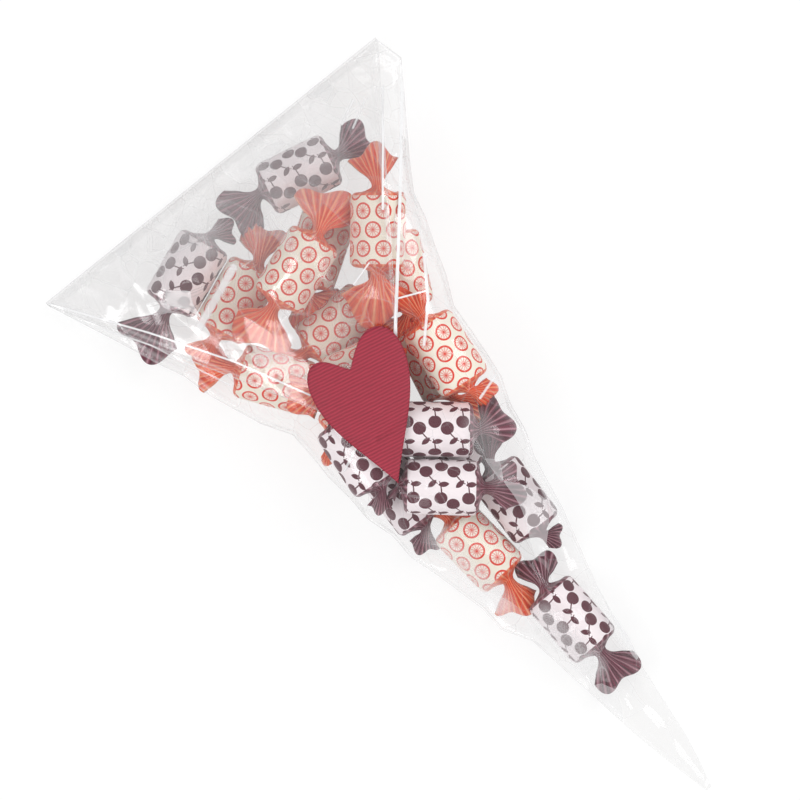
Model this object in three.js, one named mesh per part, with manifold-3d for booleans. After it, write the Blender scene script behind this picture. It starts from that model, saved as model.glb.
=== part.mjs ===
// A clear cellophane cone bag of wrapped sweets, lying on its back as it comes to rest.
// The bag is one sheet of film: a cone-shaped tube whose wide end is folded over the front as a
// tapering flap, which a paper heart holds down. Twenty-one sweets lie inside in two layers, each a
// drum in a wrapper that is twisted at both ends into a pleated fan.
// Millimetres. +Z up, +Y from the tip of the cone towards its folded wide end, X across the bag.
import * as THREE from "three";
import { mergeVertices } from "three/addons/utils/BufferGeometryUtils.js";
import Module from "manifold-3d";

const wasm = await Module();
wasm.setup();

// Bag
const BAG_LENGTH = 295; // from the tip to the fold at the wide end
const BAG_WIDTH = 158; // of the fold, between the bag's two corners
const TIP_WIDTH = 2.4;
const FILM = 0.25; // wall of the film
const FOLD_SPACE = 0.4; // between the two plies where the bag is pressed flat
const FOLD_CLEAR = 11; // the sweets keep this far from the fold
const FOLD_LIFT = 4; // the fold stands this far off the table
const CREASE_HEIGHT = 0.36; // of the side creases, as a share of the filled height

// Flap
const FLAP_GAP = 1.2; // air under the flap
const FLAP_REACH = 112; // from the fold to the flap's blunt point
const FLAP_POINT = 15; // width of that point
const FLAP_OFFSET = -7; // the point lies this far to one side of the bag's middle

// Sweets
const DRUM_RADIUS = 10.3;
const DRUM_LENGTH = 28; // over the gathered ends
const SHOULDER = 2.6; // rounding from the drum to its gathered end
const GATHER_RADIUS = 7.2; // of the end face, inside the rounding
const NECK_RADIUS = 2.3; // where the wrapper is twisted shut
const NECK_LENGTH = 1.8;
const FAN_LENGTH = 14.5; // of a full twisted end, from its neck
const FAN_SPREAD = 46; // degrees to each side of a full fan
const FAN_PLY = 0.5; // half the thickness of the bunched wrapper
const PLEAT_DEPTH = 1.2;
const PLEAT_FADE = 0.4; // share of a pleat's depth that is left at a fan's side edges
const GATHER_RIPPLE = 0.5; // of the gathered end face, half as much at the neck
const LEAST_FAN = 1.8; // shortest length that a crowded fan is crushed to
const LEAST_SPREAD = 0.2; // of such a fan, as a share of a full one's
const DROOPS = [0.4, 0.75]; // of a fan in the lower and the upper layer, as shares of its room

// Clearances
const REST_GAP = 0.3; // under a sweet that rests on film or on another sweet
const SIDE_GAP = 0.5; // between neighbouring drums
const FAN_GAP = 1; // round an opened fan
const FAN_ROOT = 0.4; // a fan's footprint starts this far off its own drum
const FILM_SLACK = 1.1; // air between the sweets and the film above and beside them

// Heart
const HEART_LENGTH = 56;
const HEART_WIDTH = 39;
const HEART_THICKNESS = 0.4;
const HEART_NOTCH = 9; // depth of the notch between the lobes
const HEART_TURN = -16; // degrees about the vertical
const HEART_TIP = { along: 0.548, across: -0.118 }; // shares of the bag's length and width
const HEART_LIFT = 0.35; // glue line between the heart and the film

// Fineness
const BAG_SIDES = 14; // facets across each ply of the bag
const SIDE_CROWDING = 1.8; // above 1, the facets grow narrower towards the side creases
const LEAST_FACET = 0.45;
const BAG_STATIONS = 28; // sections from the tip to the fold
const FOLD_TURNS = 3; // facets round the fold
const WRAP_SIDES = 8; // facets across each half of a wrapper
const PROBE_STEP = 4; // spacing of the points that hold the film off a sweet
const TAUT_PASSES = 14; // how far along the bag the film bridges a hollow

const degrees = (angle) => (angle * Math.PI) / 180;
const mix = (a, b, t) => a + (b - a) * t;
const clamp = (value, low, high) => Math.min(high, Math.max(low, value));

// The bag's half widths as it lies, as shares of its length from the tip and of its half width at
// the fold. The film draws in beside the filled part and flares to the corners above it.
const LEFT_OUTLINE = [
  [0, 0.015], [0.095, 0.1], [0.197, 0.16], [0.285, 0.21], [0.356, 0.3], [0.43, 0.37],
  [0.57, 0.46], [0.68, 0.48], [0.74, 0.61], [0.8, 0.67], [1, 1],
];
const RIGHT_OUTLINE = [
  [0, 0.015], [0.058, 0.07], [0.156, 0.11], [0.276, 0.18], [0.404, 0.3], [0.505, 0.37],
  [0.6, 0.46], [0.67, 0.5], [0.715, 0.45], [0.753, 0.56], [0.82, 0.67], [0.97, 1.05], [1, 1],
];

// Each sweet as it shows through the front or is packed behind: its flavour, its layer (0 on the
// film, 1 on the others), its place as shares of the bag's length and width, and the heading of
// its axis in degrees from the X axis.
const SWEETS = [
  ["cherry", 0, 0.276, 0.016, -88],
  ["orange", 0, 0.42, -0.056, -85],
  ["cherry", 0, 0.443, 0.094, 88],
  ["cherry", 0, 0.538, -0.16, 88],
  ["cherry", 0, 0.552, 0.0, 94],
  ["orange", 0, 0.634, 0.125, 78],
  ["orange", 0, 0.648, -0.08, 8],
  ["orange", 0, 0.754, -0.185, -55],
  ["orange", 0, 0.748, 0.03, 0],
  ["orange", 0, 0.764, 0.215, 64],
  ["orange", 0, 0.85, -0.14, 21],
  ["orange", 0, 0.842, 0.085, 32],
  ["cherry", 0, 0.92, -0.195, 21],
  ["cherry", 0, 0.922, 0.152, -13],
  ["orange", 1, 0.838, 0.01, 20],
  ["orange", 1, 0.812, 0.218, 51],
  ["orange", 1, 0.686, -0.015, -14],
  ["orange", 1, 0.634, 0.185, 84],
  ["cherry", 1, 0.574, 0.024, -39],
  ["cherry", 1, 0.515, -0.05, -40],
  ["cherry", 1, 0.605, -0.13, 84],
].map(([flavour, layer, along, across, heading], index) => ({
  name: `${flavour}_sweet_${String(index + 1).padStart(2, "0")}`,
  flavour,
  layer,
  x: across * BAG_WIDTH,
  y: along * BAG_LENGTH,
  heading: degrees(heading),
}));

const COLOURS = {
  cherry: { paper: "#efe4ea", fan: "#4b1527" },
  orange: { paper: "#fbeedd", fan: "#e8451f" },
  film: "#f1f1f3",
  heart: "#a4202f",
};

function outlineAt(outline, share) {
  const next = clamp(outline.findIndex(([s]) => s >= share), 1, outline.length - 1);
  const [[s0, w0], [s1, w1]] = [outline[next - 1], outline[next]];
  return mix(w0, w1, clamp((share - s0) / (s1 - s0), 0, 1)) * (BAG_WIDTH / 2);
}

// Flat shapes: every footprint is a convex polygon, a list of [x, y] corners.

// The footprint of a drum lying on its side, grown by a margin.
function drumFootprint(sweet, margin) {
  const half = DRUM_LENGTH / 2 + margin;
  const wide = DRUM_RADIUS + margin;
  const [c, s] = [Math.cos(sweet.heading), Math.sin(sweet.heading)];
  return [[-half, -wide], [half, -wide], [half, wide], [-half, wide]].map(([a, b]) => [
    sweet.x + a * c - b * s,
    sweet.y + a * s + b * c,
  ]);
}

// The shortest push that parts two convex polygons, or null where they are already apart.
function parting(first, second) {
  let least = null;
  for (const shape of [first, second]) {
    for (let i = 0; i < shape.length; i++) {
      const [x0, y0] = shape[i];
      const [x1, y1] = shape[(i + 1) % shape.length];
      const length = Math.hypot(x1 - x0, y1 - y0);
      const axis = [(y1 - y0) / length, (x0 - x1) / length];
      const along = (points) => points.map(([x, y]) => x * axis[0] + y * axis[1]);
      const [a, b] = [along(first), along(second)];
      const forward = Math.max(...a) - Math.min(...b);
      const backward = Math.max(...b) - Math.min(...a);
      const depth = Math.min(forward, backward);
      if (depth <= 0) return null;
      if (!least || depth < least.depth) {
        const sign = forward < backward ? 1 : -1;
        least = { depth, x: axis[0] * sign, y: axis[1] * sign };
      }
    }
  }
  return least;
}

// The footprint of a fan: a sector from the neck at one end of a drum.
function fanFootprint(sweet, fan, margin) {
  const root = DRUM_LENGTH / 2 + FAN_ROOT;
  const start = DRUM_LENGTH / 2 + NECK_LENGTH;
  const reach = fan.length + margin;
  const outer = [-1, -0.5, 0, 0.5, 1].map((u) => {
    const angle = fan.swing + u * fan.spread;
    return [start + reach * Math.cos(angle), (reach + margin) * Math.sin(angle)];
  });
  const neck = NECK_RADIUS + margin;
  const turn = sweet.heading + (fan.end < 0 ? Math.PI : 0);
  const [c, s] = [Math.cos(turn), Math.sin(turn)];
  return [[root, -neck], ...outer, [root, neck]].map(([a, b]) => [
    sweet.x + a * c - b * s,
    sweet.y + a * s + b * c,
  ]);
}

// A fan at one end of a sweet, at shares of its full length and spread.
function makeFan(end, length, spread, swing) {
  return { end, length: length * FAN_LENGTH, spread: spread * degrees(FAN_SPREAD), swing };
}

const crushedFan = (end) => makeFan(end, LEAST_FAN / FAN_LENGTH, LEAST_SPREAD, 0);

// How far the corners of a footprint stand out of the bag's outline, to the left and the right.
function outside(shape, margin) {
  const beyond = (outline, side) =>
    Math.max(...shape.map(([x, y]) => side * x + margin - outlineAt(outline, y / BAG_LENGTH)));
  return [beyond(LEFT_OUTLINE, -1), beyond(RIGHT_OUTLINE, 1)];
}

// A sweet's drum with both its ends crushed short.
const crushedShapes = (sweet) => [
  drumFootprint(sweet, SIDE_GAP / 2),
  fanFootprint(sweet, crushedFan(1), SIDE_GAP / 2),
  fanFootprint(sweet, crushedFan(-1), SIDE_GAP / 2),
];

// The greatest of the pushes that part any shape of one list from any of another.
function deepest(firsts, seconds) {
  const pushes = firsts.flatMap((a) => seconds.map((b) => parting(a, b)));
  return pushes.filter(Boolean).sort((a, b) => b.depth - a.depth)[0];
}

// Pushes the drums of each layer apart until none touches, as a shaken bag settles. The bag's
// sides press them together at first, and give way later where there is no room.
function settle(sweets) {
  const mostRounds = 400;
  const margin = FILM_SLACK + FILM;
  for (let round = 0; round < mostRounds; round++) {
    let moved = false;
    for (const sweet of sweets) {
      const [left, right] = outside(drumFootprint(sweet, 0), margin);
      const press = Math.max(0, 1 - (2 * round) / mostRounds) / 2;
      sweet.x += press * (Math.max(0, left) - Math.max(0, right));
    }
    sweets.forEach((one, i) => {
      for (const other of sweets.slice(i + 1)) {
        if (one.layer !== other.layer) continue;
        const push = deepest(crushedShapes(one), crushedShapes(other));
        if (!push) continue;
        moved = true;
        const half = push.depth / 2 + 1e-3;
        one.x -= push.x * half;
        one.y -= push.y * half;
        other.x += push.x * half;
        other.y += push.y * half;
      }
    });
    if (!moved) break;
  }
  for (const sweet of sweets) {
    const lowest = FILM + REST_GAP + DRUM_RADIUS;
    sweet.z = lowest + sweet.layer * (2 * DRUM_RADIUS + REST_GAP);
  }
}

// Gives each end of each sweet the fullest fan that its neighbours leave room for.
function openFans(sweets) {
  const lengths = [1, 0.85, 0.7, 0.55, 0.4];
  const spreads = [1, 0.75, 0.5];
  const swings = [0, 12, -12, 24, -24, 38, -38, 52, -52].map(degrees);
  const choices = lengths.flatMap((length) =>
    spreads.flatMap((spread) => swings.map((swing) => ({ length, spread, swing }))),
  );
  const swingCost = 0.1; // a straight fan is worth more than one swung aside
  const worth = ({ length, spread, swing }) =>
    length * length * spread - Math.abs(swing) * swingCost;
  choices.sort((a, b) => worth(b) - worth(a));
  for (const sweet of sweets) sweet.fans = [crushedFan(1), crushedFan(-1)];
  const free = (sweet, own, shape) =>
    Math.max(...outside(shape, FILM)) < 0 &&
    Math.max(...shape.map(([, y]) => y)) < BAG_LENGTH - FOLD_CLEAR &&
    sweets
      .filter((other) => other.layer === sweet.layer)
      .every((other) => {
        const fans = other.fans.filter((fan) => fan !== own);
        const shapes = fans.map((fan) => fanFootprint(other, fan, 0));
        if (other !== sweet) shapes.push(drumFootprint(other, 0));
        return !shapes.some((each) => parting(shape, each));
      });
  for (const sweet of [...sweets].sort((a, b) => b.layer - a.layer)) {
    sweet.fans.forEach((own, i) => {
      const fans = choices.map((c) => makeFan(own.end, c.length, c.spread, c.swing));
      const open = fans.find((fan) => free(sweet, own, fanFootprint(sweet, fan, FAN_GAP)));
      sweet.fans[i] = open ?? own;
    });
  }
  // A fan droops from its neck towards what lies below, and keeps clear of it.
  const room = DRUM_RADIUS - FAN_PLY - PLEAT_DEPTH - 2 * REST_GAP;
  for (const sweet of sweets) {
    for (const fan of sweet.fans) {
      const share = clamp(fan.length / FAN_LENGTH, 0, 1);
      fan.droop = room * share * DROOPS[sweet.layer];
    }
  }
}

// Closed surfaces from rings of points. A ring runs over its upper side from left to right and
// back along its lower side. A sharp ring has one point at each side, and a blunt one has two.

function capFaces(start, count, blunt, flip) {
  const lower = (j) => (count - blunt - j) % count;
  const faces = [];
  for (let j = 0; j < count / 2 - blunt; j++) {
    const quad = [j, j + 1, lower(j + 1), lower(j)];
    for (const corners of [[0, 1, 2], [0, 2, 3]]) {
      const face = corners.map((corner) => start + quad[corner]);
      if (new Set(face).size === 3) faces.push(flip ? face.reverse() : face);
    }
  }
  return faces;
}

function signedVolume({ points, faces }) {
  return faces.reduce((sum, face) => {
    const [p, q, r] = face.map((i) => new THREE.Vector3(...points[i]));
    return sum + p.dot(q.cross(r)) / 6;
  }, 0);
}

// A closed loft through rings, capped flat at both ends and facing outwards. The diagonals of its
// facets alternate from the ring whose number is given as first.
function loft(rings, blunt, first = 0) {
  const count = rings[0].length;
  const faces = capFaces(0, count, blunt, false);
  for (let i = 0; i + 1 < rings.length; i++) {
    for (let j = 0; j < count; j++) {
      const [a, b] = [i * count + j, i * count + ((j + 1) % count)];
      const [c, d] = [a + count, b + count];
      if ((i + first + j) % 2) faces.push([a, d, b], [a, c, d]);
      else faces.push([a, c, b], [b, c, d]);
    }
  }
  faces.push(...capFaces((rings.length - 1) * count, count, blunt, true));
  const surface = { points: rings.flat(), faces };
  if (signedVolume(surface) < 0) surface.faces = faces.map(([a, b, c]) => [a, c, b]);
  return surface;
}

function geometryOf({ points, faces }) {
  const geometry = new THREE.BufferGeometry();
  geometry.setAttribute("position", new THREE.Float32BufferAttribute(points.flat(), 3));
  geometry.setIndex(faces.flat());
  return geometry;
}

function solidOf(source) {
  const bare = source.index ? source.clone() : source;
  for (const name of Object.keys(bare.attributes)) {
    if (name !== "position") bare.deleteAttribute(name);
  }
  const merged = mergeVertices(bare, 1e-4);
  return new wasm.Manifold(
    new wasm.Mesh({
      numProp: 3,
      vertProperties: merged.attributes.position.array,
      triVerts: new Uint32Array(merged.index.array),
    }),
  );
}

function fromSolid(solid) {
  const mesh = solid.getMesh();
  const geometry = new THREE.BufferGeometry();
  geometry.setAttribute("position", new THREE.BufferAttribute(mesh.vertProperties, 3));
  geometry.setIndex(new THREE.BufferAttribute(mesh.triVerts, 1));
  return geometry;
}

// Sweets

// One point of the flattened, pleated fan: u runs across it from -1 to 1, and side is 1 on its
// upper face and -1 on its lower one.
function fanPoint(fan, share, u, side, pleat) {
  const reach = share * fan.length;
  const angle = fan.swing + u * fan.spread;
  const edge = Math.sqrt(Math.max(0, 1 - u * u));
  const flattened = 0.6; // thickness at the neck, as a share of the neck's
  const narrowest = 0.3; // radians of spread, below which the pleats grow no flatter
  const thick = mix(NECK_RADIUS * flattened, FAN_PLY, share) * edge;
  const depth = PLEAT_DEPTH * clamp(fan.spread, narrowest, 1) * (edge > 0 ? 1 : PLEAT_FADE);
  const fold = depth * share * pleat;
  const along = DRUM_LENGTH / 2 + NECK_LENGTH + reach * Math.cos(angle);
  const across = reach * Math.sin(angle) + NECK_RADIUS * u * (1 - share);
  return [fan.end * along, fan.end * across, side * thick + fold - fan.droop * share * share];
}

// The rings of one sweet, along its own X axis, from one fan's edge to the other's.
function sweetRings(sweet) {
  const count = 2 * WRAP_SIDES;
  const turns = Array.from({ length: count }, (_, j) => Math.PI - (2 * Math.PI * j) / count);
  const disc = (along, radius, ripple = 0) =>
    turns.map((turn, j) => {
      const r = radius + (j % 2 ? -ripple : ripple);
      return [along, r * Math.cos(turn), r * Math.sin(turn)];
    });
  // A ring's points run the same way along the whole sweet, so the far fan's are mirrored.
  const fanRing = (fan, share) =>
    turns.map((turn, j) => {
      const pair = j <= WRAP_SIDES ? j : count - j;
      const u = fan.end * Math.cos(turn);
      return fanPoint(fan, share, u, Math.sign(Math.sin(turn)) || 1, pair % 2 ? -1 : 1);
    });
  const end = DRUM_LENGTH / 2;
  const half = (fan) => [
    disc(fan.end * (end - SHOULDER), DRUM_RADIUS),
    disc(fan.end * end, GATHER_RADIUS, GATHER_RIPPLE),
    disc(fan.end * (end + NECK_LENGTH), NECK_RADIUS, GATHER_RIPPLE / 2),
    fanRing(fan, 0.5),
    fanRing(fan, 1),
  ];
  const [front, back] = sweet.fans;
  return [...half(back).reverse(), ...half(front)];
}

// A sweet's own frame in the bag's: turned to its heading and lifted to its layer.
function sweetPlace(sweet) {
  return new THREE.Matrix4()
    .makeRotationZ(sweet.heading)
    .setPosition(sweet.x, sweet.y, sweet.z);
}

// Points all over a sweet, which the film has to clear.
function sweetProbes(sweet) {
  const place = sweetPlace(sweet);
  const half = DRUM_LENGTH / 2 - SHOULDER;
  const steps = Math.ceil((2 * half) / PROBE_STEP);
  const probes = sweetRings(sweet).flat();
  for (let i = 0; i <= steps; i++) {
    for (let j = 0; j < 2 * WRAP_SIDES; j++) {
      const turn = (Math.PI * j) / WRAP_SIDES;
      const along = mix(-half, half, i / steps);
      probes.push([along, DRUM_RADIUS * Math.cos(turn), DRUM_RADIUS * Math.sin(turn)]);
    }
  }
  return probes.map((p) => new THREE.Vector3(...p).applyMatrix4(place));
}

// White printed paper over the drum and a dark fan at each end, as vertex colours.
function wrapperColours(geometry, flavour) {
  const { paper, fan } = COLOURS[flavour];
  const position = geometry.getAttribute("position");
  const colours = [];
  const paperEnd = DRUM_LENGTH / 2 - SHOULDER / 2;
  for (let i = 0; i < position.count; i++) {
    const onDrum = Math.abs(position.getX(i)) < paperEnd;
    colours.push(...new THREE.Color(onDrum ? paper : fan).toArray());
  }
  geometry.setAttribute("color", new THREE.Float32BufferAttribute(colours, 3));
}

function sweetMesh(sweet) {
  const geometry = geometryOf(loft(sweetRings(sweet), 0));
  wrapperColours(geometry, sweet.flavour);
  const wrapper = new THREE.MeshStandardMaterial({
    vertexColors: true,
    roughness: 0.45,
    metalness: 0,
  });
  const mesh = new THREE.Mesh(geometry, wrapper);
  mesh.name = sweet.name;
  mesh.position.set(sweet.x, sweet.y, sweet.z);
  mesh.rotation.z = sweet.heading;
  return mesh;
}

// Film

// The upper or lower edge of the convex hull of [x, z] points, from left to right.
function hullEdge(points, side) {
  const sorted = [...points].sort((a, b) => a[0] - b[0] || side * (b[1] - a[1]));
  const edge = [];
  for (const p of sorted) {
    while (edge.length > 1) {
      const [a, b] = edge.slice(-2);
      const turn = (b[0] - a[0]) * (p[1] - a[1]) - (b[1] - a[1]) * (p[0] - a[0]);
      if (side * turn < 0) break;
      edge.pop();
    }
    edge.push(p);
  }
  return edge;
}

function heightOn(edge, x) {
  const next = clamp(edge.findIndex(([px]) => px >= x), 1, edge.length - 1);
  const [[x0, z0], [x1, z1]] = [edge[next - 1], edge[next]];
  return x1 - x0 < 1e-9 ? Math.max(z0, z1) : mix(z0, z1, clamp((x - x0) / (x1 - x0), 0, 1));
}

// Where the film is sampled between its sides: closer together towards each side crease, but
// nowhere closer than LEAST_FACET.
function across(left, right) {
  const sides = BAG_SIDES / 2;
  return Array.from({ length: BAG_SIDES + 1 }, (_, j) => {
    const t = j / sides - 1;
    const width = t < 0 ? left : right;
    const crowding = Math.min(SIDE_CROWDING, Math.log(width / LEAST_FACET) / Math.log(sides));
    return Math.sign(t) * width * (1 - Math.pow(1 - Math.abs(t), Math.max(1, crowding)));
  });
}

const FLAT_HALF = FILM + FOLD_SPACE / 2; // half the thickness of the bag where it is flat

// One section of the bag: its half widths and the heights of its upper and lower plies.
function bagSection(y, probes) {
  const reach = BAG_LENGTH / BAG_STATIONS + FILM_SLACK + FOLD_SPACE;
  const share = y / BAG_LENGTH;
  const near = probes.filter((p) => Math.abs(p.y - y) <= reach);
  const grow = FILM_SLACK + 2 * FILM;
  const points = near.flatMap((p) => [
    [p.x, p.z + FILM_SLACK + FILM],
    [p.x - grow, p.z],
    [p.x + grow, p.z],
    [p.x, p.z - REST_GAP - FILM],
  ]);
  const xs = points.map(([x]) => x);
  const left = Math.max(outlineAt(LEFT_OUTLINE, share), TIP_WIDTH / 2, -Math.min(0, ...xs));
  const right = Math.max(outlineAt(RIGHT_OUTLINE, share), TIP_WIDTH / 2, Math.max(0, ...xs));
  const top = Math.max(2 * FLAT_HALF, ...points.map(([, z]) => z));
  const crease = near.length ? CREASE_HEIGHT * top : FLAT_HALF;
  const ends = [[-left, crease], [right, crease]];
  const [upper, lower] = [1, -1].map((side) => hullEdge([...points, ...ends], side));
  const widths = across(left, right);
  // A facet spans the hull's corners, so each point clears the hull half way to its neighbours.
  const around = (x, j) => [widths[j - 1] ?? x, x, widths[j + 1] ?? x].map((at) => (x + at) / 2);
  return {
    y,
    x: widths,
    crease,
    filled: near.length > 0,
    top: widths.map((x, j) => Math.max(...around(x, j).map((at) => heightOn(upper, at)))),
    lower: widths.map((x, j) => Math.min(...around(x, j).map((at) => heightOn(lower, at)))),
  };
}

// All sections from the tip to the fold, with the film drawn taut along the bag between the
// sweets that hold it up, and brought down to two flat plies at both ends.
function bagSections(probes) {
  const sections = Array.from({ length: BAG_STATIONS + 1 }, (_, i) =>
    bagSection((BAG_LENGTH * i) / BAG_STATIONS, probes),
  );
  const last = sections.length - 1;
  sections[last].filled = false;
  const full = sections.filter((s) => s.filled);
  const [first, final] = [full[0], full[full.length - 1]];
  for (const s of sections.filter((each) => !each.filled)) {
    const beyond = s.y > final.y;
    const from = beyond ? final : first;
    const rest = beyond ? FOLD_LIFT : FLAT_HALF;
    const t = beyond ? (BAG_LENGTH - s.y) / (BAG_LENGTH - final.y) : s.y / first.y;
    s.crease = mix(rest, from.crease, t);
    s.top = from.top.map((z) => mix(rest, z, t));
    s.lower = from.lower.map((z) => mix(rest, z, t));
  }
  for (let pass = 0; pass < TAUT_PASSES; pass++) {
    const before = sections.map((s) => [...s.top]);
    for (let i = 1; i < last; i++) {
      sections[i].top = before[i].map((z, j) =>
        Math.max(z, (before[i - 1][j] + before[i + 1][j]) / 2),
      );
    }
  }
  for (const s of sections) {
    for (let j = 0; j <= BAG_SIDES; j++) {
      const edge = j === 0 || j === BAG_SIDES;
      const middle = edge ? s.crease : (s.top[j] + s.lower[j]) / 2;
      const half = edge ? FLAT_HALF : Math.max(FLAT_HALF, (s.top[j] - s.lower[j]) / 2);
      s.top[j] = middle + half;
      s.lower[j] = middle - half;
    }
    // The table holds the underside up, so nothing of it lies lower.
    const sunk = Math.min(0, ...s.lower);
    s.top = s.top.map((z) => z - sunk);
    s.lower = s.lower.map((z) => z - sunk);
  }
  return sections;
}

// Height of a row of points at any x, on the straight lines between them.
function rowHeight(xs, heights, x) {
  const next = clamp(xs.findIndex((px) => px >= x), 1, xs.length - 1);
  const t = clamp((x - xs[next - 1]) / (xs[next] - xs[next - 1]), 0, 1);
  return mix(heights[next - 1], heights[next], t);
}

// Height of a surface at a point of the plan, from rows of points, each with its own xs and
// heights. The point lies a whole number of rows and a fraction up the list.
function surfaceHeight(rows, at, x) {
  const i = clamp(Math.floor(at), 0, rows.length - 2);
  const [near, far] = [rows[i], rows[i + 1]];
  const between = (key) => near[key].map((value, j) => mix(value, far[key][j], at - i));
  return rowHeight(between("x"), between("top"), x);
}

// Height of the bag's upper ply at a point of the plan.
const bagTop = (sections, x, y) =>
  surfaceHeight(sections, clamp(y / BAG_LENGTH, 0, 1) * BAG_STATIONS, x);

// The highest that a surface reaches within a span to each side of a point of the plan.
function highest(surface, x, y, span) {
  const steps = [-span, -span / 2, 0, span / 2, span];
  return Math.max(...steps.flatMap((dx) => steps.map((dy) => surface(x + dx, y + dy))));
}

// The flap's stations lie about as far apart as the bag's.
const FLAP_STATIONS = Math.ceil((FLAP_REACH * BAG_STATIONS) / BAG_LENGTH);

// The flap's middle heights, station by station from the fold to its blunt point. It is a taut
// sheet, so it bridges what lies under it.
function flapStations(sections) {
  const half = BAG_WIDTH / 2;
  const step = FLAP_REACH / FLAP_STATIONS;
  const under = (x, y) => bagTop(sections, x, y);
  return Array.from({ length: FLAP_STATIONS + 1 }, (_, i) => {
    const share = i / FLAP_STATIONS;
    const y = BAG_LENGTH - step * i;
    const wide = mix(half, FLAP_POINT / 2, share);
    const x = across(wide, wide).map((at) => at + mix(0, FLAP_OFFSET, share));
    const top = x.map((at) =>
      i === 0
        ? FOLD_LIFT + 2 * FLAT_HALF + FLAP_GAP
        : highest(under, at, y, step / 2) + FLAP_GAP + FLAT_HALF,
    );
    return { x, y, top };
  });
}

// Height of the flap's middle at a point of the plan, or none beside the flap.
function flapHeight(flap, x, y) {
  const at = ((BAG_LENGTH - y) / FLAP_REACH) * FLAP_STATIONS;
  const middle = mix(0, FLAP_OFFSET, at / FLAP_STATIONS);
  const half = mix(BAG_WIDTH, FLAP_POINT, at / FLAP_STATIONS) / 2;
  const beside = at > FLAP_STATIONS || Math.abs(x - middle) > half;
  return beside ? -Infinity : surfaceHeight(flap, Math.max(0, at), x);
}

// A blunt ring of film, from where its two plies lie at each x.
function filmRing(xs, upperAt, lowerAt) {
  const upper = xs.map((x, j) => [x, ...upperAt(j)]);
  const lower = xs.map((x, j) => [x, ...lowerAt(j)]);
  return [...upper, ...lower.reverse()];
}

// A ring of two flat plies on a path: the middles at each x, and the way that the path runs
// through each of them, as an angle up from the Y axis.
function pliesRing(xs, middles, headings) {
  const ply = (side) => (j) => [
    middles[j][0] - side * Math.sin(headings[j]) * FLAT_HALF,
    middles[j][1] + side * Math.cos(headings[j]) * FLAT_HALF,
  ];
  return filmRing(xs, ply(1), ply(-1));
}

// The rings of the film's outside: up the bag, round the fold and back down the flap.
function filmRings(sections, flap) {
  const body = sections.map((s) =>
    filmRing(s.x, (j) => [s.y, s.top[j]], (j) => [s.y, s.lower[j]]),
  );
  const radius = FLAT_HALF + FLAP_GAP / 2;
  const xs = flap[0].x;
  const turns = Array.from({ length: FOLD_TURNS - 1 }, (_, i) => (Math.PI * (i + 1)) / FOLD_TURNS);
  const bend = turns.map((turn) => [
    BAG_LENGTH + radius * Math.sin(turn),
    FOLD_LIFT + radius * (1 - Math.cos(turn)),
  ]);
  const fold = turns.map((turn, i) => pliesRing(xs, xs.map(() => bend[i]), xs.map(() => turn)));
  const path = [{ y: bend[bend.length - 1][0], top: xs.map(() => bend[bend.length - 1][1]) }];
  path.push(...flap);
  const back = flap.map((station, i) => {
    const [before, after] = [path[i], path[Math.min(i + 2, path.length - 1)]];
    const headings = station.top.map((_, j) =>
      Math.atan2(after.top[j] - before.top[j], after.y - before.y),
    );
    return pliesRing(station.x, station.top.map((z) => [station.y, z]), headings);
  });
  return [...body, ...fold, ...back];
}

// A copy of a lofted surface's points, each moved in until it is a wall's depth behind every
// facet that it belongs to.
function movedIn({ points, faces }, wall) {
  const around = points.map(() => []);
  for (const face of faces) {
    const [p, q, r] = face.map((i) => new THREE.Vector3(...points[i]));
    const normal = q.sub(p).cross(r.sub(p)).normalize();
    for (const i of face) around[i].push(normal);
  }
  const rounds = 60;
  return points.map((point, i) => {
    const move = new THREE.Vector3();
    for (let round = 0; round < rounds; round++) {
      for (const normal of around[i]) {
        const short = move.dot(normal) + wall;
        if (short > 0) move.addScaledVector(normal, -short);
      }
    }
    return new THREE.Vector3(...point).add(move).toArray();
  });
}

// The whole bag: an outside less an inside, which comes out at the mouth under the heart.
function bagGeometry(sections, flap) {
  const rings = filmRings(sections, flap);
  const outer = loft(rings, 1);
  const moved = movedIn(outer, FILM);
  const count = rings[0].length;
  const sealed = 1; // rings of solid film at the tip
  const inside = rings.map((_, i) => moved.slice(i * count, (i + 1) * count)).slice(sealed);
  inside.push(inside[inside.length - 1].map(([x, y, z]) => [x, y - 2 * FILM, z]));
  const inner = loft(inside, 1, sealed);
  return fromSolid(solidOf(geometryOf(outer)).subtract(solidOf(geometryOf(inner))));
}

// Heart

function heartShape() {
  const half = HEART_WIDTH / 2;
  const lobe = HEART_LENGTH;
  const notch = HEART_LENGTH - HEART_NOTCH;
  const shape = new THREE.Shape();
  shape.moveTo(0, 0);
  shape.bezierCurveTo(-half * 0.42, lobe * 0.3, -half, lobe * 0.52, -half, lobe * 0.79);
  shape.bezierCurveTo(-half, lobe * 0.92, -half * 0.78, lobe, -half * 0.52, lobe);
  shape.bezierCurveTo(-half * 0.24, lobe, -half * 0.04, lobe * 0.93, 0, notch);
  shape.bezierCurveTo(half * 0.04, lobe * 0.93, half * 0.24, lobe, half * 0.52, lobe);
  shape.bezierCurveTo(half * 0.78, lobe, half, lobe * 0.92, half, lobe * 0.79);
  shape.bezierCurveTo(half, lobe * 0.52, half * 0.42, lobe * 0.3, 0, 0);
  return shape;
}

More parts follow.
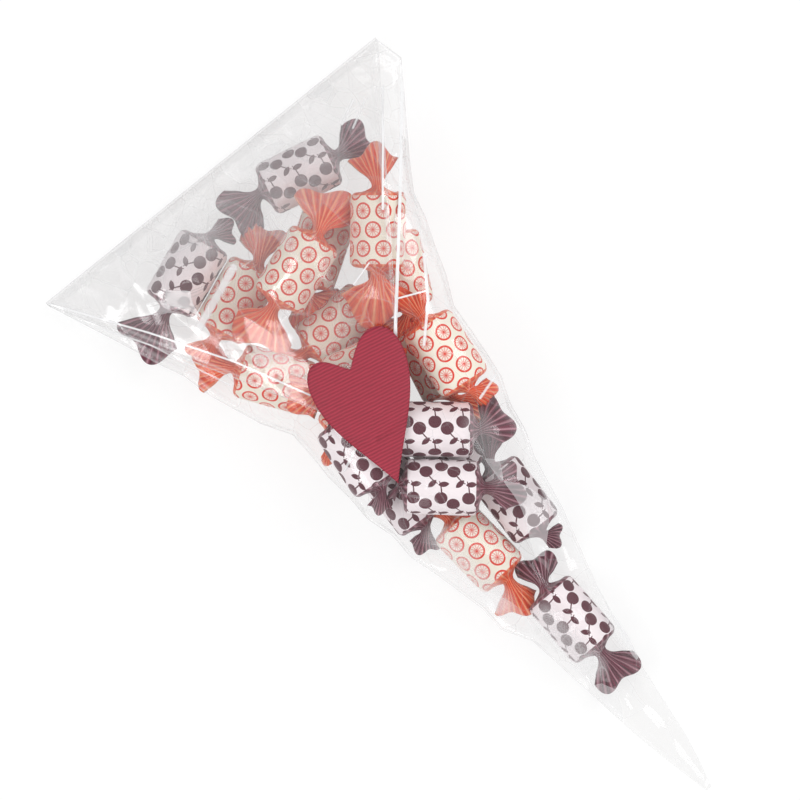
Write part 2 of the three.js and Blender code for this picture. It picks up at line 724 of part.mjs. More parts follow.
// A paper heart that lies on the flap and the film beside it: its outline cut from a thin slab
// that follows the bag.
function heartGeometry(sections, flap) {
  const tip = [HEART_TIP.across * BAG_WIDTH, HEART_TIP.along * BAG_LENGTH];
  const turn = degrees(HEART_TURN);
  const [c, s] = [Math.cos(turn), Math.sin(turn)];
  const toBag = (a, b) => [tip[0] + a * c - b * s, tip[1] + a * s + b * c];
  const [columns, rows, margin] = [10, 14, 2];
  const stiffness = 4; // the paper bridges hollows narrower than twice this
  const cover = (x, y) =>
    Math.max(bagTop(sections, x, y), flapHeight(flap, x, y) + FLAT_HALF);
  const heightOf = (x, y) => highest(cover, x, y, stiffness) + HEART_LIFT;
  const rings = [];
  for (let i = 0; i <= rows; i++) {
    const b = mix(-margin, HEART_LENGTH + margin, i / rows);
    const across = (j) => (j / columns - 0.5) * (HEART_WIDTH + 2 * margin);
    const ring = [];
    for (let j = 0; j <= columns; j++) {
      const [x, y] = toBag(across(j), b);
      ring.push([x, y, heightOf(x, y) + HEART_THICKNESS]);
    }
    for (let j = columns; j >= 0; j--) {
      const [x, y] = toBag(across(j), b);
      ring.push([x, y, heightOf(x, y)]);
    }
    rings.push(ring);
  }
  const slab = solidOf(geometryOf(loft(rings, 1)));
  const tall = 100;
  const cutter = new THREE.ExtrudeGeometry(heartShape(), {
    depth: tall,
    bevelEnabled: false,
    curveSegments: 7,
  });
  cutter.rotateZ(turn);
  cutter.translate(tip[0], tip[1], 0);
  return fromSolid(slab.intersect(solidOf(cutter)));
}

// Assembly

settle(SWEETS);
openFans(SWEETS);
const sections = bagSections(SWEETS.flatMap(sweetProbes));
const flap = flapStations(sections);

const bagModel = new THREE.Group();
const bag = new THREE.Mesh(
  bagGeometry(sections, flap),
  new THREE.MeshStandardMaterial({
    color: COLOURS.film,
    roughness: 0.08,
    metalness: 0,
    transparent: true,
    opacity: 0.25,
  }),
);
bag.name = "cone_film";
const heart = new THREE.Mesh(
  heartGeometry(sections, flap),
  new THREE.MeshStandardMaterial({ color: COLOURS.heart, roughness: 0.7, metalness: 0 }),
);
heart.name = "heart_seal";
bagModel.add(bag, heart, ...SWEETS.map(sweetMesh));

// The origin is on the table under the middle of the bag's outline.
bag.geometry.computeBoundingBox();
const middle = bag.geometry.boundingBox.getCenter(new THREE.Vector3());
const low = bag.geometry.boundingBox.min.z;
bagModel.position.set(-middle.x, -middle.y, -low);

export default bagModel;
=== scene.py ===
"""Looks of a clear cone bag of twist-wrapped sweets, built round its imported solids.

The bag lies on its back. Shapes are worked out in millimetres in the frame of the solids: +Z up
from the table, +Y from the bag's tip to its fold, X across. Meshes are made in metres.
"""

import logging
import math
from dataclasses import dataclass, field
from enum import Enum

import bpy
import numpy as np
from bpy.types import Material, Node, NodeOutputs, NodeSocket, NodeTree, Object
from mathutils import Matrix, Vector
from numpy import ndarray


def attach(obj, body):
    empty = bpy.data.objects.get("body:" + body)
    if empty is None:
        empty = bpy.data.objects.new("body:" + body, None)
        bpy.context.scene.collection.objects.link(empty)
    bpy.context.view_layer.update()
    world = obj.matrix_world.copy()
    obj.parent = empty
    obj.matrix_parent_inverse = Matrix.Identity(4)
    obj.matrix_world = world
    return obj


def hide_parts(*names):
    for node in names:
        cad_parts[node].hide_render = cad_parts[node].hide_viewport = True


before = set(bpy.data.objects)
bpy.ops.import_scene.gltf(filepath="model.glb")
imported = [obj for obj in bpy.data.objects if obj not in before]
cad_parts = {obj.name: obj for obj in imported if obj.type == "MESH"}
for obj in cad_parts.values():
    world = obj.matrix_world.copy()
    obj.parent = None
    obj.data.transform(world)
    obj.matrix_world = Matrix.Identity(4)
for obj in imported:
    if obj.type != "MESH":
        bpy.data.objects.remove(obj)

MM = 0.001
FAR_BELOW = -100.0
log = logging.getLogger("cone_bag")


class Flavour(Enum):
    """The two kinds of sweet in the bag."""

    CHERRY = "cherry"
    ORANGE = "orange"


class End(Enum):
    """An end of a sweet: towards the bag's fold or towards its tip."""

    FOLD = 1
    TIP = -1


def hex_colour(text: str) -> tuple[float, float, float, float]:
    """The linear colour of a six-digit sRGB code, with an alpha of 1."""
    shares = [int(text[i : i + 2], 16) / 255 for i in (0, 2, 4)]
    linear = [s / 12.92 if s <= 0.04045 else ((s + 0.055) / 1.055) ** 2.4 for s in shares]
    return (*linear, 1.0)


def smooth_step(value: ndarray, low: float, high: float) -> ndarray:
    """0 below low, 1 above high, and 3t^2 - 2t^3 in between."""
    t = np.clip((value - low) / (high - low), 0, 1)
    return t * t * (3 - 2 * t)


def node_points(node: str) -> ndarray:
    """The corners of a solid, in millimetres."""
    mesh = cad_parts[node].data
    places = np.zeros(len(mesh.vertices) * 3, np.float32)
    mesh.vertices.foreach_get("co", places)
    return places.reshape(-1, 3).astype(float) / MM


def new_object(name: str, data: bpy.types.ID) -> Object:
    """An object in the scene for a mesh, a lamp or a camera."""
    made = bpy.data.objects.new(name, data)
    bpy.context.scene.collection.objects.link(made)
    return made


# Surfaces


@dataclass
class Surface:
    """A closed surface in millimetres.

    Corners are listed quads first, then triangles, and uv has one row for each of them.
    """

    points: ndarray
    quads: ndarray
    triangles: ndarray
    uv: ndarray | None = None
    masks: dict[str, ndarray] = field(default_factory=dict)

    def volume(self) -> float:
        """Six times the signed volume: the sum of p . (q x r) over all triangles."""
        halves = [self.quads[:, [0, 1, 2]], self.quads[:, [0, 2, 3]], self.triangles]
        p, q, r = (self.points[np.vstack(halves)[:, i]] for i in range(3))
        return float(np.einsum("ij,ij->i", p, np.cross(q, r)).sum())

    def make(self, name: str, material: Material) -> Object:
        """A smooth-shaded object with its faces outward, riding on the bag's one body."""
        quads, triangles, uv = self.quads, self.triangles, self.uv
        if self.volume() < 0:
            quads, triangles = quads[:, ::-1], triangles[:, ::-1]
            if uv is not None:
                split = quads.size
                flipped = [uv[:split].reshape(-1, 4, 2), uv[split:].reshape(-1, 3, 2)]
                uv = np.vstack([part[:, ::-1].reshape(-1, 2) for part in flipped])
        mesh = bpy.data.meshes.new(name)
        mesh.from_pydata((self.points * MM).tolist(), [], quads.tolist() + triangles.tolist())
        if uv is not None:
            layer = mesh.uv_layers.new(name="wrap")
            layer.data.foreach_set("uv", uv.astype(np.float32).ravel())
        for key, values in self.masks.items():
            attribute = mesh.attributes.new(key, "FLOAT", "POINT")
            attribute.data.foreach_set("value", values.astype(np.float32).ravel())
        mesh.shade_smooth()
        mesh.materials.append(material)
        mesh.update()
        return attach(new_object(name, mesh), "root")


def closed_grid(rows: int, columns: int) -> tuple[list[tuple[ndarray, ndarray]], ndarray]:
    """The corners' rows and columns, and the quads, between rows that close on themselves."""
    i, j = np.meshgrid(np.arange(rows - 1), np.arange(columns), indexing="ij")
    corners = [(i, j), (i, j + 1), (i + 1, j + 1), (i + 1, j)]
    return corners, np.stack([(a * columns + b % columns).ravel() for a, b in corners], 1)


def tube(rings: ndarray, poles: ndarray, uv: ndarray | None = None) -> Surface:
    """A closed surface from rings of points, with a pole at each end.

    Args:
        rings: points, as rows by columns by 3. Each row closes on itself.
        poles: the two points that close the first and the last row.
        uv: map places, as rows by columns + 1 by 2, so that the seam has both its sides.

    Returns:
        The surface.
    """
    rows, columns = rings.shape[:2]
    corners, quads = closed_grid(rows, columns)
    j = np.arange(columns)
    k = (j + 1) % columns
    first, last = rows * columns, rows * columns + 1
    base = (rows - 1) * columns
    low = np.stack([np.full(columns, first), k, j], 1)
    high = np.stack([np.full(columns, last), base + j, base + k], 1)
    surface = Surface(np.vstack([rings.reshape(-1, 3), poles]), quads, np.vstack([low, high]))
    if uv is not None:
        of_quads = np.stack([uv[a, b].reshape(-1, 2) for a, b in corners], 1).reshape(-1, 2)
        middle = (uv[:, :-1] + uv[:, 1:]) / 2
        of_low = np.stack([middle[0], uv[0, 1:], uv[0, :-1]], 1).reshape(-1, 2)
        of_high = np.stack([middle[-1], uv[-1, :-1], uv[-1, 1:]], 1).reshape(-1, 2)
        surface.uv = np.vstack([of_quads, of_low, of_high])
    return surface


def sleeve(upper: ndarray, lower: ndarray) -> Surface:
    """A closed flat sleeve from two plies of points, rows by columns by 3, joined all round."""
    rings = np.concatenate([upper, lower[:, ::-1]], 1)
    rows, columns = rings.shape[:2]
    _, quads = closed_grid(rows, columns)
    j = np.arange(columns // 2 - 1)
    cap = np.stack([j, columns - 1 - j, columns - 2 - j, j + 1], 1)
    far = cap[:, ::-1] + (rows - 1) * columns
    return Surface(rings.reshape(-1, 3), np.vstack([quads, cap, far]), np.zeros((0, 3), int))


# Shader nodes


class NodeKit:
    """Adds nodes to one tree and links them."""

    def __init__(self, tree: NodeTree) -> None:
        """Starts on an empty tree."""
        self.tree = tree
        tree.nodes.clear()

    def add(self, kind: str, inputs: dict | None = None, **settings) -> Node:
        """Adds a node of a kind, with a value or a socket for its inputs, and its properties."""
        node = self.tree.nodes.new(kind if kind.startswith("Node") else "ShaderNode" + kind)
        for name, value in settings.items():
            setattr(node, name, value)
        for key, value in (inputs or {}).items():
            self.put(node.inputs[key], value)
        return node

    def put(self, socket: NodeSocket, value: object) -> None:
        """Links a socket to another, or sets its value."""
        if isinstance(value, NodeSocket):
            self.tree.links.new(value, socket)
        else:
            socket.default_value = value

    def math(self, operation: str, *values: object, clamp: bool = False) -> NodeSocket:
        """One step of arithmetic on numbers."""
        node = self.add("Math", dict(enumerate(values)), operation=operation, use_clamp=clamp)
        return node.outputs[0]

    def vector(self, operation: str, *values: object) -> NodeSocket:
        """One step of arithmetic on vectors, which gives a vector."""
        return self.add("VectorMath", dict(enumerate(values)), operation=operation).outputs[0]

    def most(self, first: object, *others: object) -> NodeSocket:
        """The largest of several numbers."""
        for other in others:
            first = self.math("MAXIMUM", first, other)
        return first

    def ripple(self, value: object) -> NodeSocket:
        """The height of a row of half waves."""
        return self.math("ABSOLUTE", self.math("SINE", value))

    def number(self, operation: str, a: object, b: object) -> NodeSocket:
        """One step of arithmetic on vectors, which gives a number."""
        return self.add("VectorMath", {0: a, 1: b}, operation=operation).outputs["Value"]

    def distance(self, a: object, b: object) -> NodeSocket:
        """The distance between two points."""
        return self.number("DISTANCE", a, b)

    def dot(self, a: object, b: object) -> NodeSocket:
        """The dot product of two vectors."""
        return self.number("DOT_PRODUCT", a, b)

    def scale(self, vector: object, factor: object) -> NodeSocket:
        """A vector made longer or shorter."""
        node = self.add("VectorMath", {0: vector, "Scale": factor}, operation="SCALE")
        return node.outputs[0]

    def turn(self, vector: object, angle: float) -> NodeSocket:
        """A vector turned about Z."""
        inputs = {"Vector": vector, "Angle": angle}
        return self.add("VectorRotate", inputs, rotation_type="Z_AXIS").outputs[0]

    def mask(self, name: str) -> NodeSocket:
        """A value that the mesh holds at each point."""
        return self.add("Attribute", attribute_name=name).outputs["Fac"]

    def below(self, value: object, limit: object) -> NodeSocket:
        """1 where a value is less than a limit, otherwise 0."""
        return self.math("LESS_THAN", value, limit)

    def cell(
        self, place: object, sides: tuple[object, object], shift: tuple[float, float]
    ) -> NodeSocket:
        """The place from the middle of its cell, in a lattice shifted by shares of the sides."""
        wrapped = []
        for value, side, moved in zip(self.split(place)[:2], sides, shift):
            half = self.math("MULTIPLY", side, 0.5)
            shifted = self.math("MULTIPLY_ADD", side, moved, value)
            wrapped.append(self.math("WRAP", shifted, half, self.math("MULTIPLY", half, -1.0)))
        return self.join(*wrapped)

    def finish(self, surface: Node) -> None:
        """Makes a shader the material's surface."""
        self.add("OutputMaterial", {"Surface": surface.outputs[0]})

    def coat(self, inputs: dict) -> None:
        """Makes a Principled shader with these inputs the material's surface."""
        self.finish(self.add("BsdfPrincipled", inputs))

    def times(self, a: object, b: object, clamp: bool = False) -> NodeSocket:
        """The product of two numbers."""
        return self.math("MULTIPLY", a, b, clamp=clamp)

    def line(self, value: object, slope: object, start: object, clamp: bool = False) -> NodeSocket:
        """A number times a slope, plus a start."""
        return self.math("MULTIPLY_ADD", value, slope, start, clamp=clamp)

    def split(self, vector: object) -> NodeOutputs:
        """The three numbers of a vector."""
        return self.add("SeparateXYZ", {0: vector}).outputs

    def join(self, x: object, y: object) -> NodeSocket:
        """A vector in the plane from two numbers."""
        return self.add("CombineXYZ", {0: x, 1: y}).outputs[0]

    def blend(self, factor: object, first: object, second: object) -> NodeSocket:
        """A colour between two others."""
        node = self.add("Mix", data_type="RGBA")
        for index, value in ((0, factor), (6, first), (7, second)):
            self.put(node.inputs[index], value)
        return node.outputs[2]

    def noise(self, place: object, scale: float, detail: float = 3.0) -> NodeSocket:
        """Soft noise about 0.5."""
        return self.add("TexNoise", {"Vector": place, "Scale": scale, "Detail": detail}).outputs[0]

    def group(self, tree: NodeTree, inputs: dict) -> NodeOutputs:
        """Places a node group."""
        node = self.add("Group")
        node.node_tree = tree
        for key, value in inputs.items():
            self.put(node.inputs[key], value)
        return node.outputs


def new_group(name: str, inputs: dict[str, str], outputs: dict[str, str]) -> tuple:
    """An empty node group with named sockets.

    Args:
        name: the group's name.
        inputs: the kind of each input, "Float", "Vector" or "Color".
        outputs: the kind of each output.

    Returns:
        The group, its kit, its input sockets and its output node.
    """
    tree = bpy.data.node_groups.new(name, "ShaderNodeTree")
    for way, sockets in (("INPUT", inputs), ("OUTPUT", outputs)):
        for label, kind in sockets.items():
            tree.interface.new_socket(label, in_out=way, socket_type="NodeSocket" + kind)
    kit = NodeKit(tree)
    return tree, kit, kit.add("NodeGroupInput").outputs, kit.add("NodeGroupOutput").inputs


def new_material(name: str) -> tuple[Material, NodeKit]:
    material = bpy.data.materials.new(name)
    material.use_nodes = True
    return material, NodeKit(material.node_tree)


def citrus_print() -> NodeTree:
    """Citrus wheels in staggered rows: a ring, twelve spokes on a pale tint and a dot.

    Every point is measured from the nearer of two lattices, half a pitch apart both ways.

    Returns:
        The group. Its Ink is 1 where colour is printed, and its Ground between the motifs.
    """
    sizes = ("Pitch", "Row", "Radius", "Line")
    tree, kit, given, out = new_group(
        "citrus print",
        {"Place": "Vector", **{s: "Float" for s in sizes}},
        {"Ink": "Float", "Ground": "Float"},
    )
    pitch, row, radius, line = (given[s] for s in sizes)
    sides = (pitch, kit.times(row, 2.0))
    even, odd = (kit.cell(given["Place"], sides, (shift, shift)) for shift in (0.0, 0.5))
    zero = (0.0, 0.0, 0.0)
    far = kit.math("GREATER_THAN", kit.distance(even, zero), kit.distance(odd, zero))
    node = kit.add("Mix", data_type="VECTOR")
    for index, value in ((0, far), (4, even), (5, odd)):
        kit.put(node.inputs[index], value)
    local = node.outputs[1]
    reach = kit.distance(local, zero)
    a, b, _ = kit.split(local)
    half_spokes = 6
    turn = kit.times(kit.math("ARCTAN2", b, a), half_spokes)
    off_spoke = kit.math("DIVIDE", kit.times(kit.ripple(turn), reach), half_spokes)
    spoke = kit.below(off_spoke, kit.times(line, 0.2))
    inside = kit.below(reach, kit.times(radius, 0.84))
    wheel = kit.times(kit.line(spoke, 0.6, 0.1), inside)
    off_ring = kit.math("ABSOLUTE", kit.math("SUBTRACT", reach, radius))
    ring = kit.below(off_ring, kit.times(line, 0.5))
    dot = kit.below(reach, kit.times(radius, 0.15))
    kit.put(out["Ink"], kit.most(ring, dot, wheel))
    kit.put(out["Ground"], kit.math("GREATER_THAN", reach, radius))
    return tree


def cherry_print() -> NodeTree:
    """Cherries on stems with a leaf, two to each cell of a lattice, one turned round.

    The fruit is a disc with a nick at the stem, the stem is a slightly bent stroke and the leaf
    is where two discs overlap.

    Returns:
        The group. Its Ink is 1 where colour is printed, and its Ground between the motifs.
    """
    tree, kit, given, out = new_group(
        "cherry print",
        {"Place": "Vector", "Pitch": "Float", "Row": "Float", "Radius": "Float"},
        {"Ink": "Float", "Ground": "Float"},
    )
    pitch, row, radius = (given[s] for s in ("Pitch", "Row", "Radius"))

    def motif(shift: tuple[float, float], angle: float) -> NodeSocket:
        """One cherry in each cell: fruit at (-1.7, 0), stem to (4.4, 1.4), leaf at its end."""
        place = kit.turn(kit.cell(given["Place"], (pitch, row), shift), math.radians(angle))
        fruit = kit.below(kit.distance(place, (-1.7, 0.0, 0.0)), radius)
        nick = kit.math("GREATER_THAN", kit.distance(place, (0.95, 0.45, 0.0)), 0.5)
        fruit = kit.times(fruit, nick)
        along = kit.line(kit.split(place)[0], 1 / 5.4, 0.15, clamp=True)
        stem = kit.join(
            kit.line(along, 5.2, -0.8),
            kit.line(kit.math("POWER", along, 2.0), 1.5, 0.05),
        )
        stroke = kit.below(kit.distance(place, stem), 0.27)
        near = kit.distance(place, (2.2, -0.6, 0.0))
        beyond = kit.distance(place, (5.3, 0.2, 0.0))
        leaf = kit.below(kit.most(near, beyond), 2.6)
        return kit.most(fruit, stroke, leaf)

    kit.put(out["Ink"], kit.most(motif((0.0, 0.0), 8), motif((0.44, 0.5), 152)))
    kit.put(out["Ground"], 0.0)
    return tree


def film_crumple() -> NodeTree:
    """The flat facets of crumpled film.

    Space is split into cells round scattered points. In each cell the surface leans one way, by
    the cell's own random colour less a half, times Lean.

    Returns:
        The group: the leaning Normal, Ridge, which is 1 on the creases between the cells, and
        Highlight, which is above 0 in the eighth of the cells that catch the light: a painted
        highlight.
    """
    tree, kit, given, out = new_group(
        "film crumple",
        {"Place": "Vector", "Scale": "Float", "Lean": "Float", "Base": "Vector"},
        {"Normal": "Vector", "Ridge": "Float", "Highlight": "Float"},
    )
    cells = {"Vector": given["Place"], "Scale": given["Scale"]}
    facet = kit.add("TexVoronoi", cells, feature="F1")
    lean = kit.vector("SUBTRACT", facet.outputs["Color"], (0.5, 0.5, 0.5))
    leaning = kit.vector("ADD", given["Base"], kit.scale(lean, given["Lean"]))
    kit.put(out["Normal"], kit.vector("NORMALIZE", leaning))
    edge = kit.add("TexVoronoi", cells, feature="DISTANCE_TO_EDGE").outputs["Distance"]
    kit.put(out["Ridge"], kit.below(edge, 0.008))
    # Painted highlight: a random eighth of the cells are made white, as if they caught a lamp.
    chance = kit.split(facet.outputs["Color"])[2]
    kit.put(out["Highlight"], kit.line(chance, 8.0, -7.0, clamp=True))
    return tree


def crease_highlight_band() -> NodeTree:
    """A straight band round a line from Start along Run, with soft sides.

    It paints a crease line white: partly whitened film, partly a painted highlight.

    The place's nearest point on the line is found by its share of the run, held between 0 and 1.
    The mask falls evenly from Strength at Half from the line to nothing at Half plus Soft.

    Returns:
        The group. Its Mask says how white the place is.
    """
    vectors = {s: "Vector" for s in ("Place", "Start", "Run")}
    numbers = {s: "Float" for s in ("Half", "Soft", "Strength")}
    tree, kit, given, out = new_group("crease highlight band", vectors | numbers, {"Mask": "Float"})
    place = kit.vector("MULTIPLY", given["Place"], (1.0, 1.0, 0.0))
    run = given["Run"]
    offset = kit.vector("SUBTRACT", place, given["Start"])
    share = kit.math("DIVIDE", kit.dot(offset, run), kit.dot(run, run), clamp=True)
    beyond = kit.math("SUBTRACT", kit.distance(offset, kit.scale(run, share)), given["Half"])
    fall = kit.math("SUBTRACT", 1.0, kit.math("DIVIDE", beyond, given["Soft"]), clamp=True)
    kit.put(out["Mask"], kit.times(fall, given["Strength"]))
    return tree


# Finishes


@dataclass(frozen=True)
class Band:
    """A white band on the film's front, placed on the plan in millimetres.

    On a crease it is partly whitened film and partly a painted highlight; elsewhere it is a painted
    reflection.
    """

    start: tuple[float, float]
    end: tuple[float, float]
    half: float
    soft: float
    strength: float


@dataclass(frozen=True)
class WrapperFinish:
    """Waxed paper: a printed panel round the drum, and coloured twisted ends.

    Attributes:
        paper, ground, ink: the panel's colours inside the motifs, between them and printed.
        deep, bright: the twisted ends' colours, mixed in random streaks.
        glint: a painted highlight along the crests of the pleats.
        panel_half: half the panel's length, in millimetres.
        pleats: the crests' turns for each millimetre round the sweet.
    """

    flavour: Flavour
    paper: str
    ground: str
    ink: str
    deep: str
    bright: str
    glint: str
    panel_half: float = 12.9
    pleats: float = 0.87
    dusty: tuple[float, float, float, float] = (0.8, 0.74, 0.7, 1)

    def build(self, ink_group: NodeTree, sizes: dict[str, float]) -> Material:
        """Makes the material.

        Args:
            ink_group: the print.
            sizes: the print's own sizes in millimetres.

        Returns:
            The material. The wrap map that it reads has v 0 at the middle of the drum.
        """
        material, kit = new_material(f"{self.flavour.value} waxed paper")
        wrap = kit.add("UVMap", uv_map="wrap").outputs[0]
        printed = kit.group(ink_group, {"Place": wrap, **sizes})
        u, v, _ = kit.split(wrap)
        place = kit.add("TexCoord").outputs["Object"]
        grain = kit.noise(place, 900.0)
        paper = kit.blend(kit.times(grain, 0.25), hex_colour(self.paper), self.dusty)
        paper = kit.blend(printed["Ground"], paper, hex_colour(self.ground))
        panel = kit.blend(printed["Ink"], paper, hex_colour(self.ink))
        streaks = kit.noise(kit.vector("MULTIPLY", wrap, (0.9, 0.08, 0.0)), 1.0)
        tone = kit.line(streaks, 2.4, -0.7, clamp=True)
        twist = kit.blend(tone, hex_colour(self.deep), hex_colour(self.bright))
        # Painted highlight: thin lines of the light colour on the crests of the pleats round each
        # twisted end.
        crest_highlight = kit.math("POWER", kit.ripple(kit.times(u, self.pleats)), 9.0)
        crest_highlight = kit.times(crest_highlight, kit.times(streaks, 1.5), clamp=True)
        twist = kit.blend(crest_highlight, twist, hex_colour(self.glint))
        is_end = kit.math("GREATER_THAN", kit.math("ABSOLUTE", v), self.panel_half)
        colour = kit.blend(is_end, panel, twist)
        rough = kit.line(is_end, -0.16, 0.46)
        rough = kit.line(grain, 0.1, rough)
        wrinkles = kit.noise(kit.vector("MULTIPLY", wrap, (1.3, 0.22, 0.0)), 0.8, 4.0)
        bump = kit.add("Bump", {"Strength": 0.35, "Distance": 0.0004, "Height": wrinkles})
        coat = {"Base Color": colour, "Roughness": rough, "Normal": bump.outputs[0]}
        kit.coat(coat | {"Sheen Weight": 0.1})
        return material


@dataclass(frozen=True)
class FilmFinish:
    """Clear cellulose film: it lets light through, and mirrors more the more it is seen edge on.

    Attributes:
        crease_highlights: the crease lines drawn on it, partly whitened film and partly painted
            highlight.
        tint: the colour of the light that it lets through.
        mirror, rim: how much it mirrors face on, and how much more edge on.
        facet_highlight: a painted highlight on the facets that catch the light.
            ridge_white_and_highlight, crease_white_and_highlight: how white the facets' edges and
            the folds are, partly whitened film and partly painted highlight.
        facet_scale, facet_lean: how many large facets to a metre, and how far they lean.
        finer, flatter: the same for the small facets, as shares of the large ones'.
    """

    crease_highlights: tuple[Band, ...]
    tint: tuple[float, float, float, float] = (0.986, 0.984, 0.983, 1.0)
    mirror: float = 0.04
    facet_highlight: float = 0.4
    rim: float = 0.45
    facet_scale: float = 70.0
    facet_lean: float = 0.42
    finer: float = 2.7
    flatter: float = 0.4
    ridge_white_and_highlight: float = 0.12
    crease_white_and_highlight: float = 0.5

    def crease_highlight_mask(self, kit: NodeKit, place: NodeSocket) -> NodeSocket:
        """The strongest crease line at each place: partly whitened film, partly painted highlight.
        """
        band_group = crease_highlight_band()
        masks = []
        for band in self.crease_highlights:
            start, end = (Vector((*point, 0.0)) * MM for point in (band.start, band.end))
            sizes = {"Half": band.half * MM, "Soft": band.soft * MM, "Strength": band.strength}
            line = {"Place": place, "Start": start, "Run": end - start}
            masks.append(kit.group(band_group, line | sizes)["Mask"])
        return kit.most(*masks)

    def build(self) -> Material:
        """Makes the material. It reads the mesh's masks: the milky tint with painted reflections,
        the creases and the front.
        """
        material, kit = new_material("clear film")
        plan = kit.add("TexCoord").outputs["Object"]
        drift = kit.add("TexNoise", {"Vector": plan, "Scale": 22.0, "Detail": 2.0})
        place = kit.vector("ADD", plan, kit.scale(drift.outputs["Color"], 0.02))
        facets = {
            "Place": kit.vector("MULTIPLY", place, (1.25, 0.7, 1.0)),
            "Scale": self.facet_scale,
            "Lean": self.facet_lean,
            "Base": kit.add("NewGeometry").outputs["Normal"],
        }
        crumple = film_crumple()
        large = kit.group(crumple, facets)
        facets["Scale"] *= self.finer
        facets["Lean"] *= self.flatter
        facets["Base"] = large["Normal"]
        normal = kit.group(crumple, facets)["Normal"]
        edge_on = kit.add("LayerWeight", {"Blend": 0.5, "Normal": normal}).outputs["Facing"]
        steep = kit.math("POWER", edge_on, 4.0)
        mirror = kit.line(steep, self.rim, self.mirror)
        # What is painted white on the film: a speckled milky tint, painted reflections, crease
        # lines that are partly whitened film and partly painted highlight, and painted highlights
        # on facets.
        speckle = kit.line(kit.noise(place, 2500.0, 1.0), 1.6, 0.2)
        milk_and_painted_light = kit.times(kit.mask("haze_and_reflection"), speckle)
        # Folds and facet edges painted white: partly whitened film, partly painted highlight.
        milk_and_painted_light = kit.line(kit.mask("crease"), self.crease_white_and_highlight, milk_and_painted_light)
        milk_and_painted_light = kit.line(large["Ridge"], self.ridge_white_and_highlight, milk_and_painted_light)
        # Painted highlight on the random facets that catch the light.
        facet_highlight = kit.times(large["Highlight"], self.facet_highlight)
        white = kit.most(self.crease_highlight_mask(kit, plan), facet_highlight)
        milk_and_painted_light = kit.line(white, kit.mask("front"), milk_and_painted_light)
        cover = kit.math("ADD", mirror, milk_and_painted_light, clamp=True)
        metal = kit.math("DIVIDE", mirror, kit.math("ADD", mirror, milk_and_painted_light))
        sheen = {"Base Color": (0.93, 0.93, 0.94, 1), "Roughness": 0.07}
        glaze = kit.add("BsdfPrincipled", sheen | {"Metallic": metal, "Normal": normal})
        through = kit.add("BsdfTransparent", {"Color": self.tint})
        kit.finish(kit.add("MixShader", {0: cover, 1: through.outputs[0], 2: glaze.outputs[0]}))
        return material


@dataclass(frozen=True)
class PaperFinish:
    """Dark red card with fine slanting ribs."""

    red: str = "b8344a"
    shade: str = "7d1a2e"
    ribs: float = 830.0
    slant: float = math.radians(102)

    def build(self) -> Material:
        """Makes the material. The ribs are a sine across the card.

        The grooves between the ribs are painted in the darker red, as painted shade.
        """
        material, kit = new_material("ribbed red card")
        turned = kit.turn(kit.add("TexCoord").outputs["Object"], self.slant)
        wave = kit.add(
            "TexWave",
            {"Vector": turned, "Scale": self.ribs / 3.2, "Distortion": 1.2, "Detail": 1.0},
        ).outputs["Fac"]
        fibre = kit.noise(kit.vector("MULTIPLY", turned, (1.0, 0.12, 1.0)), 1400.0)
        # Painted shade: the colour falls to the darker red in the grooves between the ribs, with
        # random tone from the fibre.
        tone = kit.line(fibre, 0.5, kit.times(wave, 0.5), clamp=True)
        colour = kit.blend(tone, hex_colour(self.shade), hex_colour(self.red))
        bump = kit.add("Bump", {"Strength": 0.6, "Distance": 0.0003, "Height": wave})
        rough = kit.line(fibre, 0.2, 0.5)
        kit.coat({"Base Color": colour, "Roughness": rough, "Normal": bump.outputs[0]})
        return material


# Sweets


@dataclass
class Tail:
    """One twisted end, opened out into a pleated cup. Lengths in millimetres, angles in radians."""

    length: float
    spread: float
    swing: float = 0.0
    droop: float = 0.0
    depth: float = 4.2
    ribs: int = 9
    lobes: float = 0.12
    phase: float = 0.0


